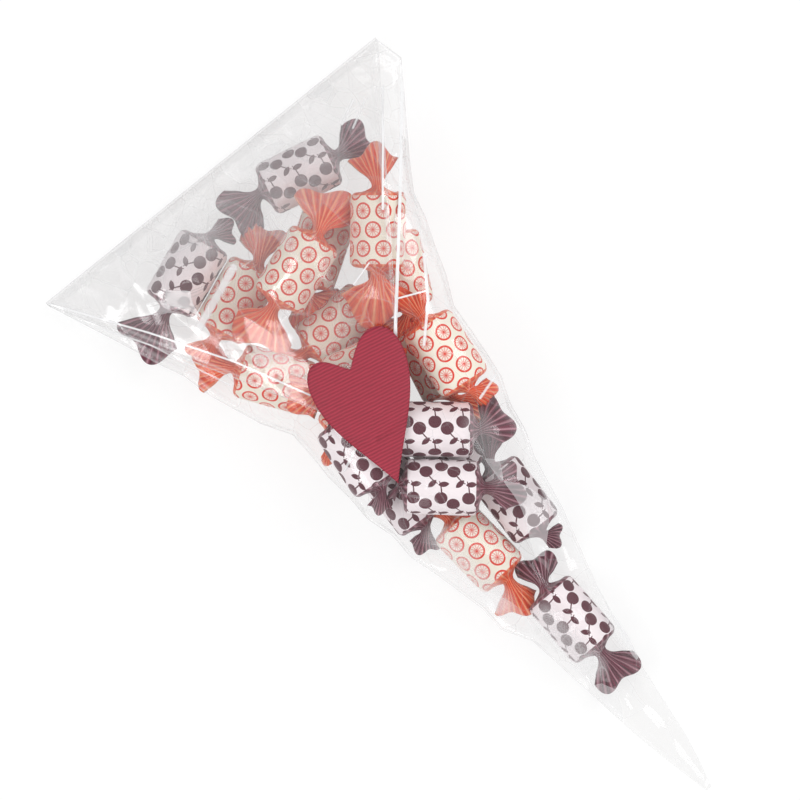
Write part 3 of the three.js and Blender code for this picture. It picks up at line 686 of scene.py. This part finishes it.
@dataclass
class TwistSweet:
    """A drum of toffee in printed paper, twisted shut at both ends.

    The drum has a radius, half its length, a rounded shoulder and a flat face of its own radius.
    The paper is gathered to a neck and turned by the twist, and opens out again as a cup.
    """

    node: str
    radius: float = 10.3
    half: float = 14.0
    shoulder: float = 2.6
    face: float = 7.2
    neck: float = 2.3
    neck_length: float = 1.8
    columns: int = 96
    cup_rings: int = 14
    inside_rings: int = 7
    gathers: int = 9
    twist: float = 1.4
    centre: ndarray = field(default_factory=lambda: np.zeros(3))
    axis: ndarray = field(default_factory=lambda: np.array([1.0, 0, 0]))
    roll: float = 0.0
    tails: dict[End, Tail] = field(default_factory=dict)

    @property
    def flavour(self) -> Flavour:
        """What the sweet tastes of, from its name."""
        return Flavour(self.node.split("_")[0])

    @property
    def number(self) -> int:
        """The sweet's number, from its name."""
        return int(self.node.split("_")[-1])

    @property
    def side(self) -> ndarray:
        """The level direction to the left of the axis."""
        return np.array([-self.axis[1], self.axis[0], 0.0])

    def read(self) -> None:
        """Takes the sweet's place from its solid.

        The facets along the drum are the only ones whose edges are as long as the drum between
        its shoulders. Their directions give the axis and their middles the centre. The axis is
        turned so that it points towards the fold.
        """
        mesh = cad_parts[self.node].data
        points = node_points(self.node)
        corners = np.zeros(len(mesh.loops), np.int32)
        mesh.loops.foreach_get("vertex_index", corners)
        triangles = points[corners.reshape(-1, 3)]
        starts, ends = triangles.reshape(-1, 3), np.roll(triangles, -1, 1).reshape(-1, 3)
        along = ends - starts
        drum = 2 * (self.half - self.shoulder)
        long = np.abs(np.linalg.norm(along, axis=1) - drum) < 0.04
        self.centre = ((starts + ends) / 2)[long].mean(0)
        along = along[long]
        along *= np.sign(along @ (along[0] * [1, 1, 0]))[:, None]
        axis = along.mean(0)
        axis /= np.linalg.norm(axis)
        self.axis = axis if axis[1] > -1e-3 else -axis
        self.tails = {end: self.read_tail(points, end) for end in End}

    def read_tail(self, points: ndarray, end: End) -> Tail:
        """The reach, spread, swing and droop of the solid's fan at one end."""
        local = self.to_local(points, end)
        root = self.half + self.neck_length
        local = local[local[:, 0] > root + 0.3]
        reach = np.hypot(local[:, 0] - root, local[:, 1])
        edge = local[reach > 0.85 * reach.max()]
        angles = np.arctan2(edge[:, 1], edge[:, 0] - root)
        low, high = angles.min(), angles.max()
        return Tail(reach.max(), (high - low) / 2, (high + low) / 2, -edge[:, 2].mean())

    def to_local(self, points: ndarray, end: End) -> ndarray:
        """Points as distances along the axis towards an end, to its left, and up."""
        offset = points - self.centre
        way, left = self.axis * end.value, self.side * end.value
        return np.stack([offset @ way, offset @ left, offset[..., 2]], -1)

    def turns(self) -> ndarray:
        """The angles of a ring's points, from the left side over the top."""
        return np.linspace(0, 2 * math.pi, self.columns, endpoint=False)

    def cup_shares(self) -> ndarray:
        """The outer rings' shares of the cup's length."""
        return np.linspace(0, 1, self.cup_rings + 1)[1:]

    def shell(self, end: End) -> ndarray:
        """Half of the wrapper, from the middle of the drum to the neck, in the end's own frame.

        The radius is the drum's up to the shoulder, a quarter ellipse round it, and then falls
        evenly to the neck. The gathers are radial ripples that grow towards the neck.
        """
        turn = self.turns()
        straight = np.array([0.0, 0.25, 0.5, 0.75, 1.0]) * (self.half - self.shoulder)
        quarter = np.linspace(0, math.pi / 2, 6)[1:]
        slope = np.linspace(0, 1, 6)[1:]
        rounding = self.half - self.shoulder * (1 - np.sin(quarter))
        along = np.concatenate([straight, rounding, self.half + self.neck_length * slope**2])
        level = np.full(len(straight), self.radius)
        rounding = self.face + (self.radius - self.face) * np.cos(quarter)
        radius = np.concatenate([level, rounding, self.face + (self.neck - self.face) * slope])
        gathered = smooth_step(self.radius - radius, 0.2, 3.0) * np.minimum(1, radius / 4)
        tail = self.tails[end]
        twist = self.twist * smooth_step(along, self.half, self.half + self.neck_length)
        ripple = np.abs(np.sin(self.gathers * (turn + twist[:, None]) + tail.phase)) - 0.5
        slack = 0.12 * np.sin(3 * turn + tail.phase) + 0.07 * np.sin(5 * turn - 2 * tail.phase)
        spread = radius[:, None] + 0.8 * gathered[:, None] * ripple
        spread = spread + slack[None] * (1 - gathered[:, None])
        along = np.broadcast_to(along[:, None], spread.shape)
        return np.stack([along, spread * np.cos(turn), spread * np.sin(turn)], -1)

    def cup(self, tail: Tail, share: ndarray, inset: float) -> ndarray:
        """The twisted end, ring by ring from its neck, in the end's own frame.

        A ring's points run evenly over its spread, from one side over the top and back below.
        The reach of each is its ring's share of the length, longer and shorter by the lobes.
        Its height is half an ellipse on each side, plus pleats in a zigzag, less the droop.
        """
        turn = self.turns()
        fan = np.arcsin(np.cos(turn)) * 2 / math.pi
        t = share[:, None]
        lobes = 1 + tail.lobes * t * np.cos(5.2 * fan + 3 * tail.phase)
        lobes = lobes * (1 - 0.12 * np.abs(fan) ** 3)
        reach = tail.length * t * lobes
        angle = tail.swing + fan * tail.spread * smooth_step(t, -0.5, 0.7)
        neck = self.neck * (1 - t) ** 2
        along = self.half + self.neck_length + reach * np.cos(angle)
        across = reach * np.sin(angle) + neck * np.cos(turn)
        swell = np.sin(turn) * np.sqrt(np.clip(1 - fan**2, 0, 1)) ** 0.5
        body = tail.depth * np.sin(math.pi * np.clip(t * 0.8, 0, 1)) ** 0.8
        pleat = np.arcsin(np.sin(tail.ribs * math.pi * fan + tail.phase)) * 2 / math.pi
        fold = 1.0 * t**0.7 * pleat * np.clip(tail.spread, 0.3, 0.8)
        up = swell * np.maximum(body + neck - inset, 0.12) + fold
        return np.stack([along, across, up - tail.droop * t**2], -1)

    def half_rings(self, end: End) -> ndarray:
        """All rings from the middle of the drum to the deepest point inside the twisted end."""
        tail = self.tails[end]
        outer = self.cup(tail, self.cup_shares(), 0.0)
        inner = self.cup(tail, np.linspace(1, 0.2, self.inside_rings + 1)[:-1], 0.22)
        local = np.concatenate([self.shell(end), outer, inner])
        way, left = self.axis * end.value, self.side * end.value
        rings = self.centre + local[..., :1] * way + local[..., 1:2] * left
        rings[..., 2] += local[..., 2]
        return rings

    def build(self, material: Material) -> Object:
        """Makes the sweet as one closed surface, from inside one twisted end to the other."""
        ahead, behind = self.half_rings(End.FOLD), self.half_rings(End.TIP)
        # Left is mirrored at the far end, so its points run the other way round.
        behind = np.roll(behind[:, ::-1], 1 + self.columns // 2, 1)
        rings = np.concatenate([behind[:0:-1], ahead])
        v = np.concatenate([-self.path(End.TIP)[:0:-1], self.path(End.FOLD)])
        u = np.linspace(0, 2 * math.pi * self.radius, self.columns + 1) + self.roll
        uv = np.stack(np.broadcast_arrays(u[None], v[:, None]), -1)
        poles = np.stack([rings[0].mean(0), rings[-1].mean(0)])
        sweet = tube(rings, poles, uv).make(f"{self.node}_wrapper", material)
        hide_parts(self.node)
        return (sweet, f"{self.flavour.value}_wrapper")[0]

    def path(self, end: End) -> ndarray:
        """How far each ring lies from the middle of the drum, along the paper."""
        shell = self.shell(end)[:, 0]
        steps = np.linalg.norm(np.diff(shell, axis=0), axis=1)
        walked = np.concatenate([[0], np.cumsum(steps)])
        beyond = walked[-1] + self.tails[end].length * self.cup_shares()
        return np.concatenate([walked, beyond, beyond[-1] + np.arange(self.inside_rings) + 1])

    def top(self, x: ndarray, y: ndarray) -> ndarray:
        """The sweet's height over each point of the plan, and far below the table beside it."""
        height = np.full(x.shape, FAR_BELOW)
        for end in End:
            tail = self.tails[end]
            local = self.to_local(np.stack([x, y, np.zeros_like(x)], -1), end)
            a, b = local[..., 0], local[..., 1]
            room = self.radius**2 - b**2
            on_drum = (room > 0) & (np.abs(a) < self.half)
            drum = self.centre[2] + np.sqrt(np.maximum(room, 0))
            height = np.where(on_drum, np.maximum(height, drum), height)
            out = a - self.half - self.neck_length
            share = np.hypot(out, b) / tail.length
            angle = np.arctan2(b, out) - tail.swing
            on_tail = (share < 1) & (np.abs(angle) < tail.spread) & (out > -1)
            fan = self.centre[2] + 0.6 * tail.depth + 0.8 - tail.droop * share**2
            height = np.where(on_tail, np.maximum(height, fan), height)
        return height


# Film


@dataclass
class ConeFilm:
    """One sheet of clear film: the bag round the sweets, its fold and the flap.

    Lengths are in millimetres.

    Attributes:
        slack: how far the bag's front lies above the sweets.
        ply: half the flap's thickness, and the least half distance between the bag's plies.
        fold_lift: the height of the bag's flat end, at the fold.
        bridge: the longest half span that the film bridges along the bag, in rows.
        length, stations: the solid's length and its number of sections.
        side_width: the width over which the back sinks from the side creases to the table.
        fold_rows: the whitened rows on each side of the fold.
        plan: the bag's y, left and right x, and the heights of its front.
        flap_plan, flap_height: x and y, and the heights, of the flap's upper ply.
    """

    sweets: list[TwistSweet]
    painted_reflections: tuple[Band, ...] = ()
    columns: int = 97
    rows: int = 200
    flap_rows: int = 78
    slack: float = 0.9
    ply: float = 0.45
    fold_lift: float = 4.0
    flap_gap: float = 1.2
    flap_reach: float = 112.0
    flap_point: float = 15.0
    flap_offset: float = -7.0
    fold_turns: int = 5
    bridge: int = 16
    length: float = 295.0
    stations: int = 28
    side_width: float = 18.0
    bag_haze: float = 0.006
    flap_haze: float = 0.022
    edge_crease: float = 0.5
    inner_crease: float = 0.3
    fold_rows: int = 3
    plan: tuple[ndarray, ...] = field(init=False, repr=False)
    flap_plan: tuple[ndarray, ...] = field(init=False, repr=False)
    flap_height: ndarray = field(init=False, repr=False)

    def outline(self) -> tuple[ndarray, ...]:
        """The solid film's sides, from its own points.

        Returns:
            For each section of the solid from tip to fold: its y, its left and right x, and the
            height of its side creases.
        """
        points = node_points("cone_film")
        low = points[:, 1].min()
        y = np.linspace(low, low + self.length, self.stations + 1)
        near = [points[np.abs(points[:, 1] - at) < 0.01] for at in y]
        left = np.array([p[:, 0].min() for p in near])
        right = np.array([p[:, 0].max() for p in near])
        crease = np.array([p[p[:, 0] > p[:, 0].max() - 0.3][:, 2].mean() for p in near])
        return y, left, right, crease

    def taut(self, start: ndarray, rest: ndarray, reach: int) -> ndarray:
        """A sheet that doesn't stretch, drawn tight over what lies under it.

        Wherever the middle of a straight line between two points of the sheet is higher than
        the sheet, the sheet is lifted to it: across its whole width, and along it within reach.

        Args:
            start: first heights, whose edge is kept.
            rest: the heights that hold the sheet up.
            reach: the longest half span that it bridges along its length, in rows.

        Returns:
            The sheet's heights.
        """
        sheet = np.maximum(start, rest)
        sheet[[0, -1]], sheet[:, [0, -1]] = start[[0, -1]], start[:, [0, -1]]
        across, along = sheet[1:-1], sheet[:, 1:-1].T
        for _ in range(4):
            for lines, span, part, whole in (
                (across, self.columns // 2, 3, 4),
                (along, reach, 2, 3),
            ):
                while span:
                    chord = (lines[:, : -2 * span] + lines[:, 2 * span :]) / 2
                    lines[:, span:-span] = np.maximum(lines[:, span:-span], chord)
                    span = span * part // whole
        return sheet

    def build(self, material: Material) -> Object:
        """Makes the film as one closed surface: up the bag, round the fold and down the flap."""
        at, left, right, crease = self.outline()
        y = np.linspace(at[0], at[-1], self.rows)
        share = np.linspace(0, 1, self.columns)
        lefts, rights, creases = (np.interp(y, at, values) for values in (left, right, crease))
        creases[-1] = self.fold_lift
        x = lefts[:, None] + (rights - lefts)[:, None] * share
        ys = np.broadcast_to(y[:, None], x.shape)
        held = np.max([sweet.top(x, ys) for sweet in self.sweets], 0) + self.slack
        lift = np.interp(y, [at[0], at[-3], at[-1]], [0.0, 0.0, self.fold_lift])
        rim = np.broadcast_to(creases[:, None], x.shape)
        flat = np.maximum(rim, self.ply) + 0 * x
        flat[-1] = self.fold_lift
        flat[0] = self.ply
        top = self.taut(flat, held, self.bridge)
        from_side = np.minimum(share, 1 - share) * (rights - lefts)[:, None]
        sag = smooth_step(from_side, 0.0, self.side_width)
        under = np.maximum(rim * (1 - sag), 0) + lift[:, None] * sag
        under[-1] = self.fold_lift
        middle = np.maximum((top + under) / 2, self.ply)
        thick = np.maximum((top - under) / 2, self.ply)
        upper = np.stack([x, ys, middle + thick], -1)
        lower = np.stack([x, ys, np.maximum(middle - thick, 0.0)], -1)
        self.plan = (y, lefts, rights, middle + thick)
        flap_top, flap_under = self.flap(y[-1], (lefts[-1] + rights[-1]) / 2)
        radius = self.ply + self.flap_gap / 2
        centre = self.fold_lift + radius
        round_out = self.bend(upper[-1], centre, radius + self.ply)
        round_in = self.bend(upper[-1], centre, radius - self.ply)
        # Past the fold the ply that was below the bag is the flap's upper one.
        plies_a = np.concatenate([upper, round_in, flap_under])
        plies_b = np.concatenate([lower, round_out, flap_top])
        surface = sleeve(plies_a, plies_b)
        surface.masks = self.masks(surface.points, plies_a.shape)
        piece = surface.make("cone_film_sheet", material)
        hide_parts("cone_film")
        return piece

    def bend(self, row: ndarray, height: float, radius: float) -> ndarray:
        """Copies of the bag's last row, turned half round a line at a height over the fold."""
        angle = np.linspace(0, math.pi, self.fold_turns + 2)[1:-1, None]
        turned = np.repeat(row[None], self.fold_turns, 0)
        turned[..., 1] += radius * np.sin(angle)
        turned[..., 2] = height - radius * np.cos(angle)
        return turned

    def cover(self, x: ndarray, y: ndarray) -> ndarray:
        """The height of the bag's front at points of the plan, between its grid points."""
        at, lefts, rights, top = self.plan
        i = np.clip((y - at[0]) / (at[-1] - at[0]), 0, 1) * (self.rows - 1)
        left, right = np.interp(y, at, lefts), np.interp(y, at, rights)
        j = np.clip((x - left) / (right - left), 0, 1) * (self.columns - 1)
        i0 = np.minimum(i.astype(int), self.rows - 2)
        j0 = np.minimum(j.astype(int), self.columns - 2)
        s, t = i - i0, j - j0
        near = top[i0, j0] * (1 - t) + top[i0, j0 + 1] * t
        far = top[i0 + 1, j0] * (1 - t) + top[i0 + 1, j0 + 1] * t
        return near * (1 - s) + far * s

    def flap(self, fold: float, axis: float) -> tuple[ndarray, ndarray]:
        """The flap's two plies, row by row from the fold to its blunt point.

        Its width falls evenly from the fold's to the point's, and it is drawn taut over the bag.

        Args:
            fold: y of the fold.
            axis: x of the fold's middle.

        Returns:
            The points of the upper and of the lower ply.
        """
        share = np.linspace(0, 1, self.flap_rows)[:, None]
        _, lefts, rights, _ = self.plan
        wide = (rights[-1] - lefts[-1]) / 2
        across = np.linspace(-1, 1, self.columns)[None]
        x = axis + share * self.flap_offset
        x = x + across * (wide + (self.flap_point / 2 - wide) * share)
        y = np.broadcast_to(fold - self.flap_reach * share, x.shape)
        rest = self.cover(x, y) + self.flap_gap
        rest[0] = self.fold_lift + 2 * self.ply + self.flap_gap
        self.flap_plan = (x, y)
        middle = self.taut(rest.copy(), rest, self.bridge // 2)
        upper = np.stack([x, y, middle + self.ply], -1)
        lower = np.stack([x, y, middle - self.ply], -1)
        self.flap_height = middle + self.ply
        return upper, lower

    def over_flap(self, x: ndarray, y: ndarray) -> ndarray:
        """The height of the flap's upper ply over points of the plan, or of the bag beside it."""
        xs, ys = self.flap_plan
        i = np.clip((ys[0, 0] - y) / self.flap_reach, 0, 1) * (self.flap_rows - 1)
        left, right = (np.interp(i, np.arange(self.flap_rows), xs[:, side]) for side in (0, -1))
        t = (x - left) / (right - left)
        j = np.clip(t, 0, 1) * (self.columns - 1)
        over = self.flap_height[np.rint(i).astype(int), np.rint(j).astype(int)]
        beside = (t < 0) | (t > 1) | (y < ys[-1, 0])
        bag = self.cover(x, y)
        return np.where(beside, bag, np.maximum(over, bag))

    def reflection_over(self, reflection: Band, points: ndarray) -> ndarray:
        """How white a painted reflection makes each point, by its distance from the band's line."""
        start, run = np.array(reflection.start), np.subtract(reflection.end, reflection.start)
        offset = points[:, :2] - start
        share = np.clip(offset @ run / (run @ run), 0, 1)
        beyond = np.linalg.norm(offset - share[:, None] * run, axis=1) - reflection.half
        return reflection.strength * np.clip(1 - beyond / reflection.soft, 0, 1)

    def masks(self, points: ndarray, shape: tuple[int, ...]) -> dict[str, ndarray]:
        """Where the film is hazy, where it is painted white, and which side is in front.

        The painted white is reflection on the front, and on the creases partly whitened film and
        partly a painted highlight.

        Args:
            points: the sleeve's points.
            shape: rows, columns and 3 of one ply.

        Returns:
            A value from 0 to 1 for each point.
        """
        rows, columns = shape[:2]
        row = np.repeat(np.arange(rows), 2 * columns)
        column = np.tile(np.concatenate([np.arange(columns), np.arange(columns)[::-1]]), rows)
        on_flap = row > self.rows
        haze_and_reflection = np.where(on_flap, self.flap_haze, self.bag_haze)
        # The bag's side creases and the fold are painted white: partly whitened film, partly a
        # painted highlight.
        edge = np.minimum(column, columns - 1 - column)
        crease = self.edge_crease * (edge == 0) + self.inner_crease * (edge == 2)
        fold = np.abs(row - self.rows - 1) <= self.fold_rows
        crease = np.where(fold, self.inner_crease, crease)
        upper = np.tile(np.repeat([True, False], columns), rows)
        front = np.where(upper == on_flap, 0.0, 1.0)
        # Painted reflections are added to the front ply's milky tint.
        for reflection in self.painted_reflections:
            haze_and_reflection = haze_and_reflection + front * self.reflection_over(reflection, points)
        return {"haze_and_reflection": haze_and_reflection, "crease": crease, "front": front}


# Heart


@dataclass
class HeartSeal:
    """The paper heart that holds the flap down.

    Attributes:
        right, left: each lobe's reach from the middle line, and its height, in millimetres.
        dip, heart_middle: the notch's height, and that of the middle as a share of it.
        lift: the gap between the card and the film.
        span: how far round each point the film holds the card up.
    """

    film: ConeFilm
    right: tuple[float, float] = (21.2, 57.0)
    left: tuple[float, float] = (17.2, 52.8)
    dip: float = 45.7
    turn: float = math.radians(-16)
    thickness: float = 0.4
    lift: float = 1.25
    span: float = 4.0
    heart_middle: float = 0.66
    columns: int = 168
    rings: int = 16

    def outline(self) -> ndarray:
        """The heart's edge from its tip up the right and down the left, in Bezier curves.

        Each side is three curves in shares of its lobe's reach and height.
        """
        t = np.linspace(0, 1, self.columns // 6, endpoint=False)[:, None]
        weights = [(1 - t) ** 3, 3 * t * (1 - t) ** 2, 3 * t**2 * (1 - t), t**3]
        sides = []
        for reach, full in (self.right, self.left):
            curves = [
                [(0, 0), (0.42, 0.3), (1, 0.52), (1, 0.8)],
                [(1, 0.8), (1, 0.93), (0.84, 1), (0.62, 1)],
                [(0.62, 1), (0.4, 1), (0.22, 0.92), (0, self.dip / full)],
            ]
            shares = [sum(w * np.array(p, float) for w, p in zip(weights, c)) for c in curves]
            sides.append(np.concatenate(shares) * [reach, full])
        right, left = sides
        left = np.concatenate([[[0.0, self.dip]], left[:0:-1]]) * [-1, 1]
        return np.concatenate([right, left])

    def build(self, material: Material) -> Object:
        """Makes the heart: rings that shrink to its middle, above and below, on the film."""
        points = node_points("heart_seal")
        tip = points[points[:, 1].argmin(), :2]
        edge = self.outline()
        middle = np.array([0.0, self.dip * self.heart_middle])
        share = np.linspace(1, 0, self.rings, endpoint=False)[::-1]
        plan = middle + share[:, None, None] * (edge - middle)
        c, s = math.cos(self.turn), math.sin(self.turn)
        spin = np.array([[c, s], [-s, c]])
        plan = plan @ spin + tip
        centre = middle @ spin + tip
        height = self.height(plan[..., 0], plan[..., 1])
        above = np.concatenate([plan, (height + self.thickness)[..., None]], -1)
        below = np.concatenate([plan, height[..., None]], -1)
        rings = np.concatenate([above, below[::-1]])
        pole = [*centre, float(self.height(centre[:1], centre[1:])[0])]
        poles = np.array([pole, pole]) + [[0, 0, self.thickness], [0, 0, 0]]
        heart = tube(rings, poles).make("heart_seal_card", material)
        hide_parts("heart_seal")
        return heart

    def height(self, x: ndarray, y: ndarray) -> ndarray:
        """The card's underside: midway between the highest and the mean film close by."""
        steps = np.linspace(-self.span, self.span, 5)
        reach = [self.film.over_flap(x + a, y + b) for a in steps for b in steps]
        return (np.max(reach, 0) + np.mean(reach, 0)) / 2 + self.lift


# Studio


@dataclass
class Studio:
    """A white table, soft boxes and the camera straight above.

    Attributes:
        view_width, middle: what the camera sees, and its middle, in millimetres.
        lens, focus: the lens in millimetres, and the height that the width is measured at.
        table_half, table_drop: half the table's side in metres, and millimetres under the bag.
        room, extra_in_mirrors: the room's light, and how much more of it mirrors show.
    """

    view_width: float = 297.6
    middle: tuple[float, float] = (-0.2, 37.15)
    spin: float = math.radians(-38.86)
    lens: float = 600.0
    focus: float = 20.0
    table_half: float = 4.0
    table_drop: float = 0.3
    room: float = 0.56
    extra_in_mirrors: float = 0.1

    def build(self) -> None:
        """Makes everything that isn't the bag."""
        self.table()
        self.sky()
        self.soft_box("key box", (-0.75, 0.35, 1.0), (0.8, 0.6), 5.0)
        self.soft_box("side box", (0.8, 0.1, 0.85), (0.5, 0.9), 4.6)
        self.soft_box("low box", (-0.1, -0.95, 0.8), (0.9, 0.5), 2.8)
        self.camera()
        scene = bpy.context.scene
        scene.view_settings.view_transform = "Standard"
        scene.cycles.transparent_max_bounces = 32

    def white(self, kit: NodeKit) -> NodeSocket:
        """1 where a ray from the camera, a mirror or glass arrives, otherwise 0."""
        path = kit.add("LightPath").outputs
        seen = kit.math("ADD", path["Is Camera Ray"], path["Is Glossy Ray"], clamp=True)
        return kit.math("ADD", seen, path["Is Transmission Ray"], clamp=True)

    def table(self) -> None:
        """A broad white table that still takes the bag's shadow."""
        mesh = bpy.data.meshes.new("table")
        signs = ((-1, -1), (1, -1), (1, 1), (-1, 1))
        corners = [(a * self.table_half, b * self.table_half, 0) for a, b in signs]
        mesh.from_pydata(corners, [], [(0, 1, 2, 3)])
        material, kit = new_material("white table")
        seen = self.white(kit)
        colour = kit.blend(seen, (0.85, 0.85, 0.85, 1), (0.22, 0.22, 0.22, 1))
        glow = {"Emission Color": (1, 1, 1, 1), "Emission Strength": kit.times(seen, 0.79)}
        kit.coat({"Base Color": colour, "Roughness": 0.9, "Specular IOR Level": 0.0} | glow)
        mesh.materials.append(material)
        table = new_object("table", mesh)
        table.location.z = -self.table_drop * MM

    def sky(self) -> None:
        """A dim even room, white to the camera."""
        world = bpy.data.worlds.new("room")
        bpy.context.scene.world = world
        world.use_nodes = True
        kit = NodeKit(world.node_tree)
        path = kit.add("LightPath").outputs
        mirrored = kit.line(path["Is Glossy Ray"], self.extra_in_mirrors, self.room)
        strength = kit.most(mirrored, path["Is Camera Ray"])
        room = kit.add("Background", {"Color": (1, 1, 1, 1), "Strength": strength})
        kit.add("OutputWorld", {"Surface": room.outputs[0]})

    def soft_box(
        self, name: str, place: tuple[float, ...], size: tuple[float, ...], power: float
    ) -> None:
        """A rectangular lamp that faces the bag. Its place and size are in metres."""
        light = bpy.data.lights.new(name, "AREA")
        light.shape = "RECTANGLE"
        light.size, light.size_y = size
        light.energy = power
        lamp = new_object(name, light)
        lamp.location = place
        lamp.rotation_euler = Vector(place).to_track_quat("Z", "Y").to_euler()

    def camera(self) -> None:
        """A long lens straight above, so that the view is nearly without perspective."""
        data = bpy.data.cameras.new("overhead")
        data.lens = self.lens
        distance = self.view_width * MM * self.lens / data.sensor_width
        data.clip_end = distance * 3
        overhead = new_object("overhead", data)
        overhead.location = (*(m * MM for m in self.middle), distance + self.focus * MM)
        overhead.rotation_euler = (0, 0, self.spin)
        bpy.context.scene.camera = overhead


CHERRY_PAPER = WrapperFinish(
    flavour=Flavour.CHERRY,
    paper="fbf1f5",
    ground="f6eaef",
    ink="561529",
    deep="2e0a16",
    bright="7c3147",
    glint="c48d9b",
)
ORANGE_PAPER = WrapperFinish(
    flavour=Flavour.ORANGE,
    paper="fff8ea",
    ground="f8f1e1",
    ink="e0300f",
    deep="cc1a05",
    bright="ff6c33",
    glint="ffb887",
)
CHERRY_PRINT = {"Pitch": 12.94, "Row": 10.3, "Radius": 2.45}
ORANGE_PRINT = {"Pitch": 8.09, "Row": 7.0, "Radius": 2.8, "Line": 0.75}
# How far each sweet's print and pleats are turned from the one before, in mm and radians.
ROLL_STEP = 7.3
PHASE_STEP = 1.7
# Length in millimetres, half angle and swing in degrees, by the sweet's number.
FULL_TAILS = {
    (1, End.FOLD): (12.5, 50, -20),
    (1, End.TIP): (15.0, 50, 0),
    (2, End.FOLD): (15.0, 42, 0),
    (2, End.TIP): (14.0, 45, -20),
    (3, End.FOLD): (16.0, 45, -20),
    (4, End.FOLD): (9.0, 35, -40),
    (4, End.TIP): (10.0, 40, -45),
    (7, End.TIP): (8.5, 45, 50),
    (8, End.FOLD): (15.0, 48, 8),
    (8, End.TIP): (10.0, 46, -20),
    (9, End.FOLD): (13.0, 60, 0),
    (9, End.TIP): (15.0, 60, 0),
    (10, End.TIP): (14.0, 55, -30),
    (11, End.TIP): (12.0, 46, 0),
    (12, End.TIP): (15.0, 60, 50),
    (13, End.FOLD): (10.0, 40, -38),
    (13, End.TIP): (19.0, 46, 0),
    (14, End.FOLD): (16.0, 50, 20),
    (14, End.TIP): (14.5, 48, 9),
    (15, End.FOLD): (17.0, 55, 10),
    (15, End.TIP): (17.0, 55, 0),
    (16, End.FOLD): (15.5, 42, 8),
    (16, End.TIP): (19.0, 60, 0),
    (18, End.FOLD): (10.0, 46, 0),
    (18, End.TIP): (10.0, 45, 45),
    (19, End.TIP): (13.0, 60, 30),
    (21, End.TIP): (9.0, 35, -40),
}
# Crease lines painted white on the film's front: partly whitened film, partly painted highlights.
FILM_CREASE_HIGHLIGHTS = (
    Band((68.4, 132.4), (39.2, 96.2), 0.3, 0.15, 0.85),
    Band((82.4, 137.8), (46.5, 95.1), 0.45, 0.2, 0.95),
    Band((46.5, 95.1), (12.4, 55.7), 0.5, 0.2, 0.95),
    Band((-80.4, 148.1), (-57.0, 114.9), 0.25, 0.2, 0.7),
    Band((-57.0, 114.9), (-39.1, 86.7), 0.25, 0.2, 0.7),
    Band((-39.1, 86.7), (-25.1, 59.6), 0.25, 0.2, 0.7),
    Band((-82.0, 146.1), (-59.8, 111.4), 0.2, 0.2, 0.5),
    Band((-59.8, 111.4), (-45.9, 81.2), 0.2, 0.2, 0.5),
    Band((56.2, 135.0), (47.4, 130.6), 0.3, 0.3, 0.5),
    Band((60.4, 132.6), (49.7, 126.9), 0.25, 0.3, 0.45),
    Band((65.1, 113.5), (41.2, 75.5), 0.2, 0.4, 0.5),
    Band((40.6, 73.6), (31.3, 59.6), 0.45, 0.3, 0.85),
    Band((31.3, 59.6), (19.6, 47.5), 0.35, 0.3, 0.8),
    Band((22.5, 67.1), (33.1, 62.4), 0.25, 0.15, 0.9),
    Band((13.3, 81.2), (22.6, 83.8), 0.2, 0.15, 0.7),
    Band((-41.1, 105.0), (-17.5, 114.1), 0.9, 0.9, 0.5),
    Band((23.4, 19.1), (32.9, 21.9), 0.3, 0.3, 0.7),
    Band((-32.5, 29.7), (-17.3, 36.6), 0.3, 0.3, 0.6),
)
# Painted reflections: soft white patches on the film's front where it mirrors the white room.
FILM_PAINTED_REFLECTIONS = (
    Band((-10.8, 126.0), (28.7, 132.3), 9, 13, 0.1),
    Band((-69.6, 140.8), (-22.5, 134.0), 5, 9, 0.14),
    Band((13.9, -64.0), (9.8, -85.6), 3, 0.8, 0.3),
    Band((24.8, -13.1), (20.6, -33.1), 3, 0.8, 0.3),
    Band((-21.4, -11.7), (-18.8, -45.3), 2.4, 4.5, 0.32),
    Band((-9.1, -59.8), (-7.1, -85.3), 2.4, 4.5, 0.32),
    Band((16.6, 11.7), (12.4, -6.5), 3, 4, 0.15),
)


def main() -> None:
    """Builds the studio and every piece of the bag, and logs where each sweet lies."""
    logging.basicConfig(level=logging.INFO, format="%(message)s")
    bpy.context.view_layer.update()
    Studio().build()
    papers = {
        Flavour.CHERRY: CHERRY_PAPER.build(cherry_print(), CHERRY_PRINT),
        Flavour.ORANGE: ORANGE_PAPER.build(citrus_print(), ORANGE_PRINT),
    }
    names = sorted(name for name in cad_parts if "_sweet_" in name)
    sweets = [TwistSweet(name) for name in names]
    for index, sweet in enumerate(sweets):
        sweet.read()
        sweet.roll = ROLL_STEP * index
        for end in End:
            tail = sweet.tails[end]
            tail.phase = PHASE_STEP * index + end.value
            if (sweet.number, end) in FULL_TAILS:
                tail.length, spread, swing = FULL_TAILS[sweet.number, end]
                tail.spread, tail.swing = math.radians(spread), math.radians(swing)
        sweet.build(papers[sweet.flavour])
        log.info("%s at %s", sweet.node, sweet.centre.round(1))
    film = ConeFilm(sweets, FILM_PAINTED_REFLECTIONS)
    film.build(FilmFinish(FILM_CREASE_HIGHLIGHTS).build())
    log.info("film made")
    HeartSeal(film).build(PaperFinish().build())
    log.info("heart made")


if __name__ == "__main__":
    main()
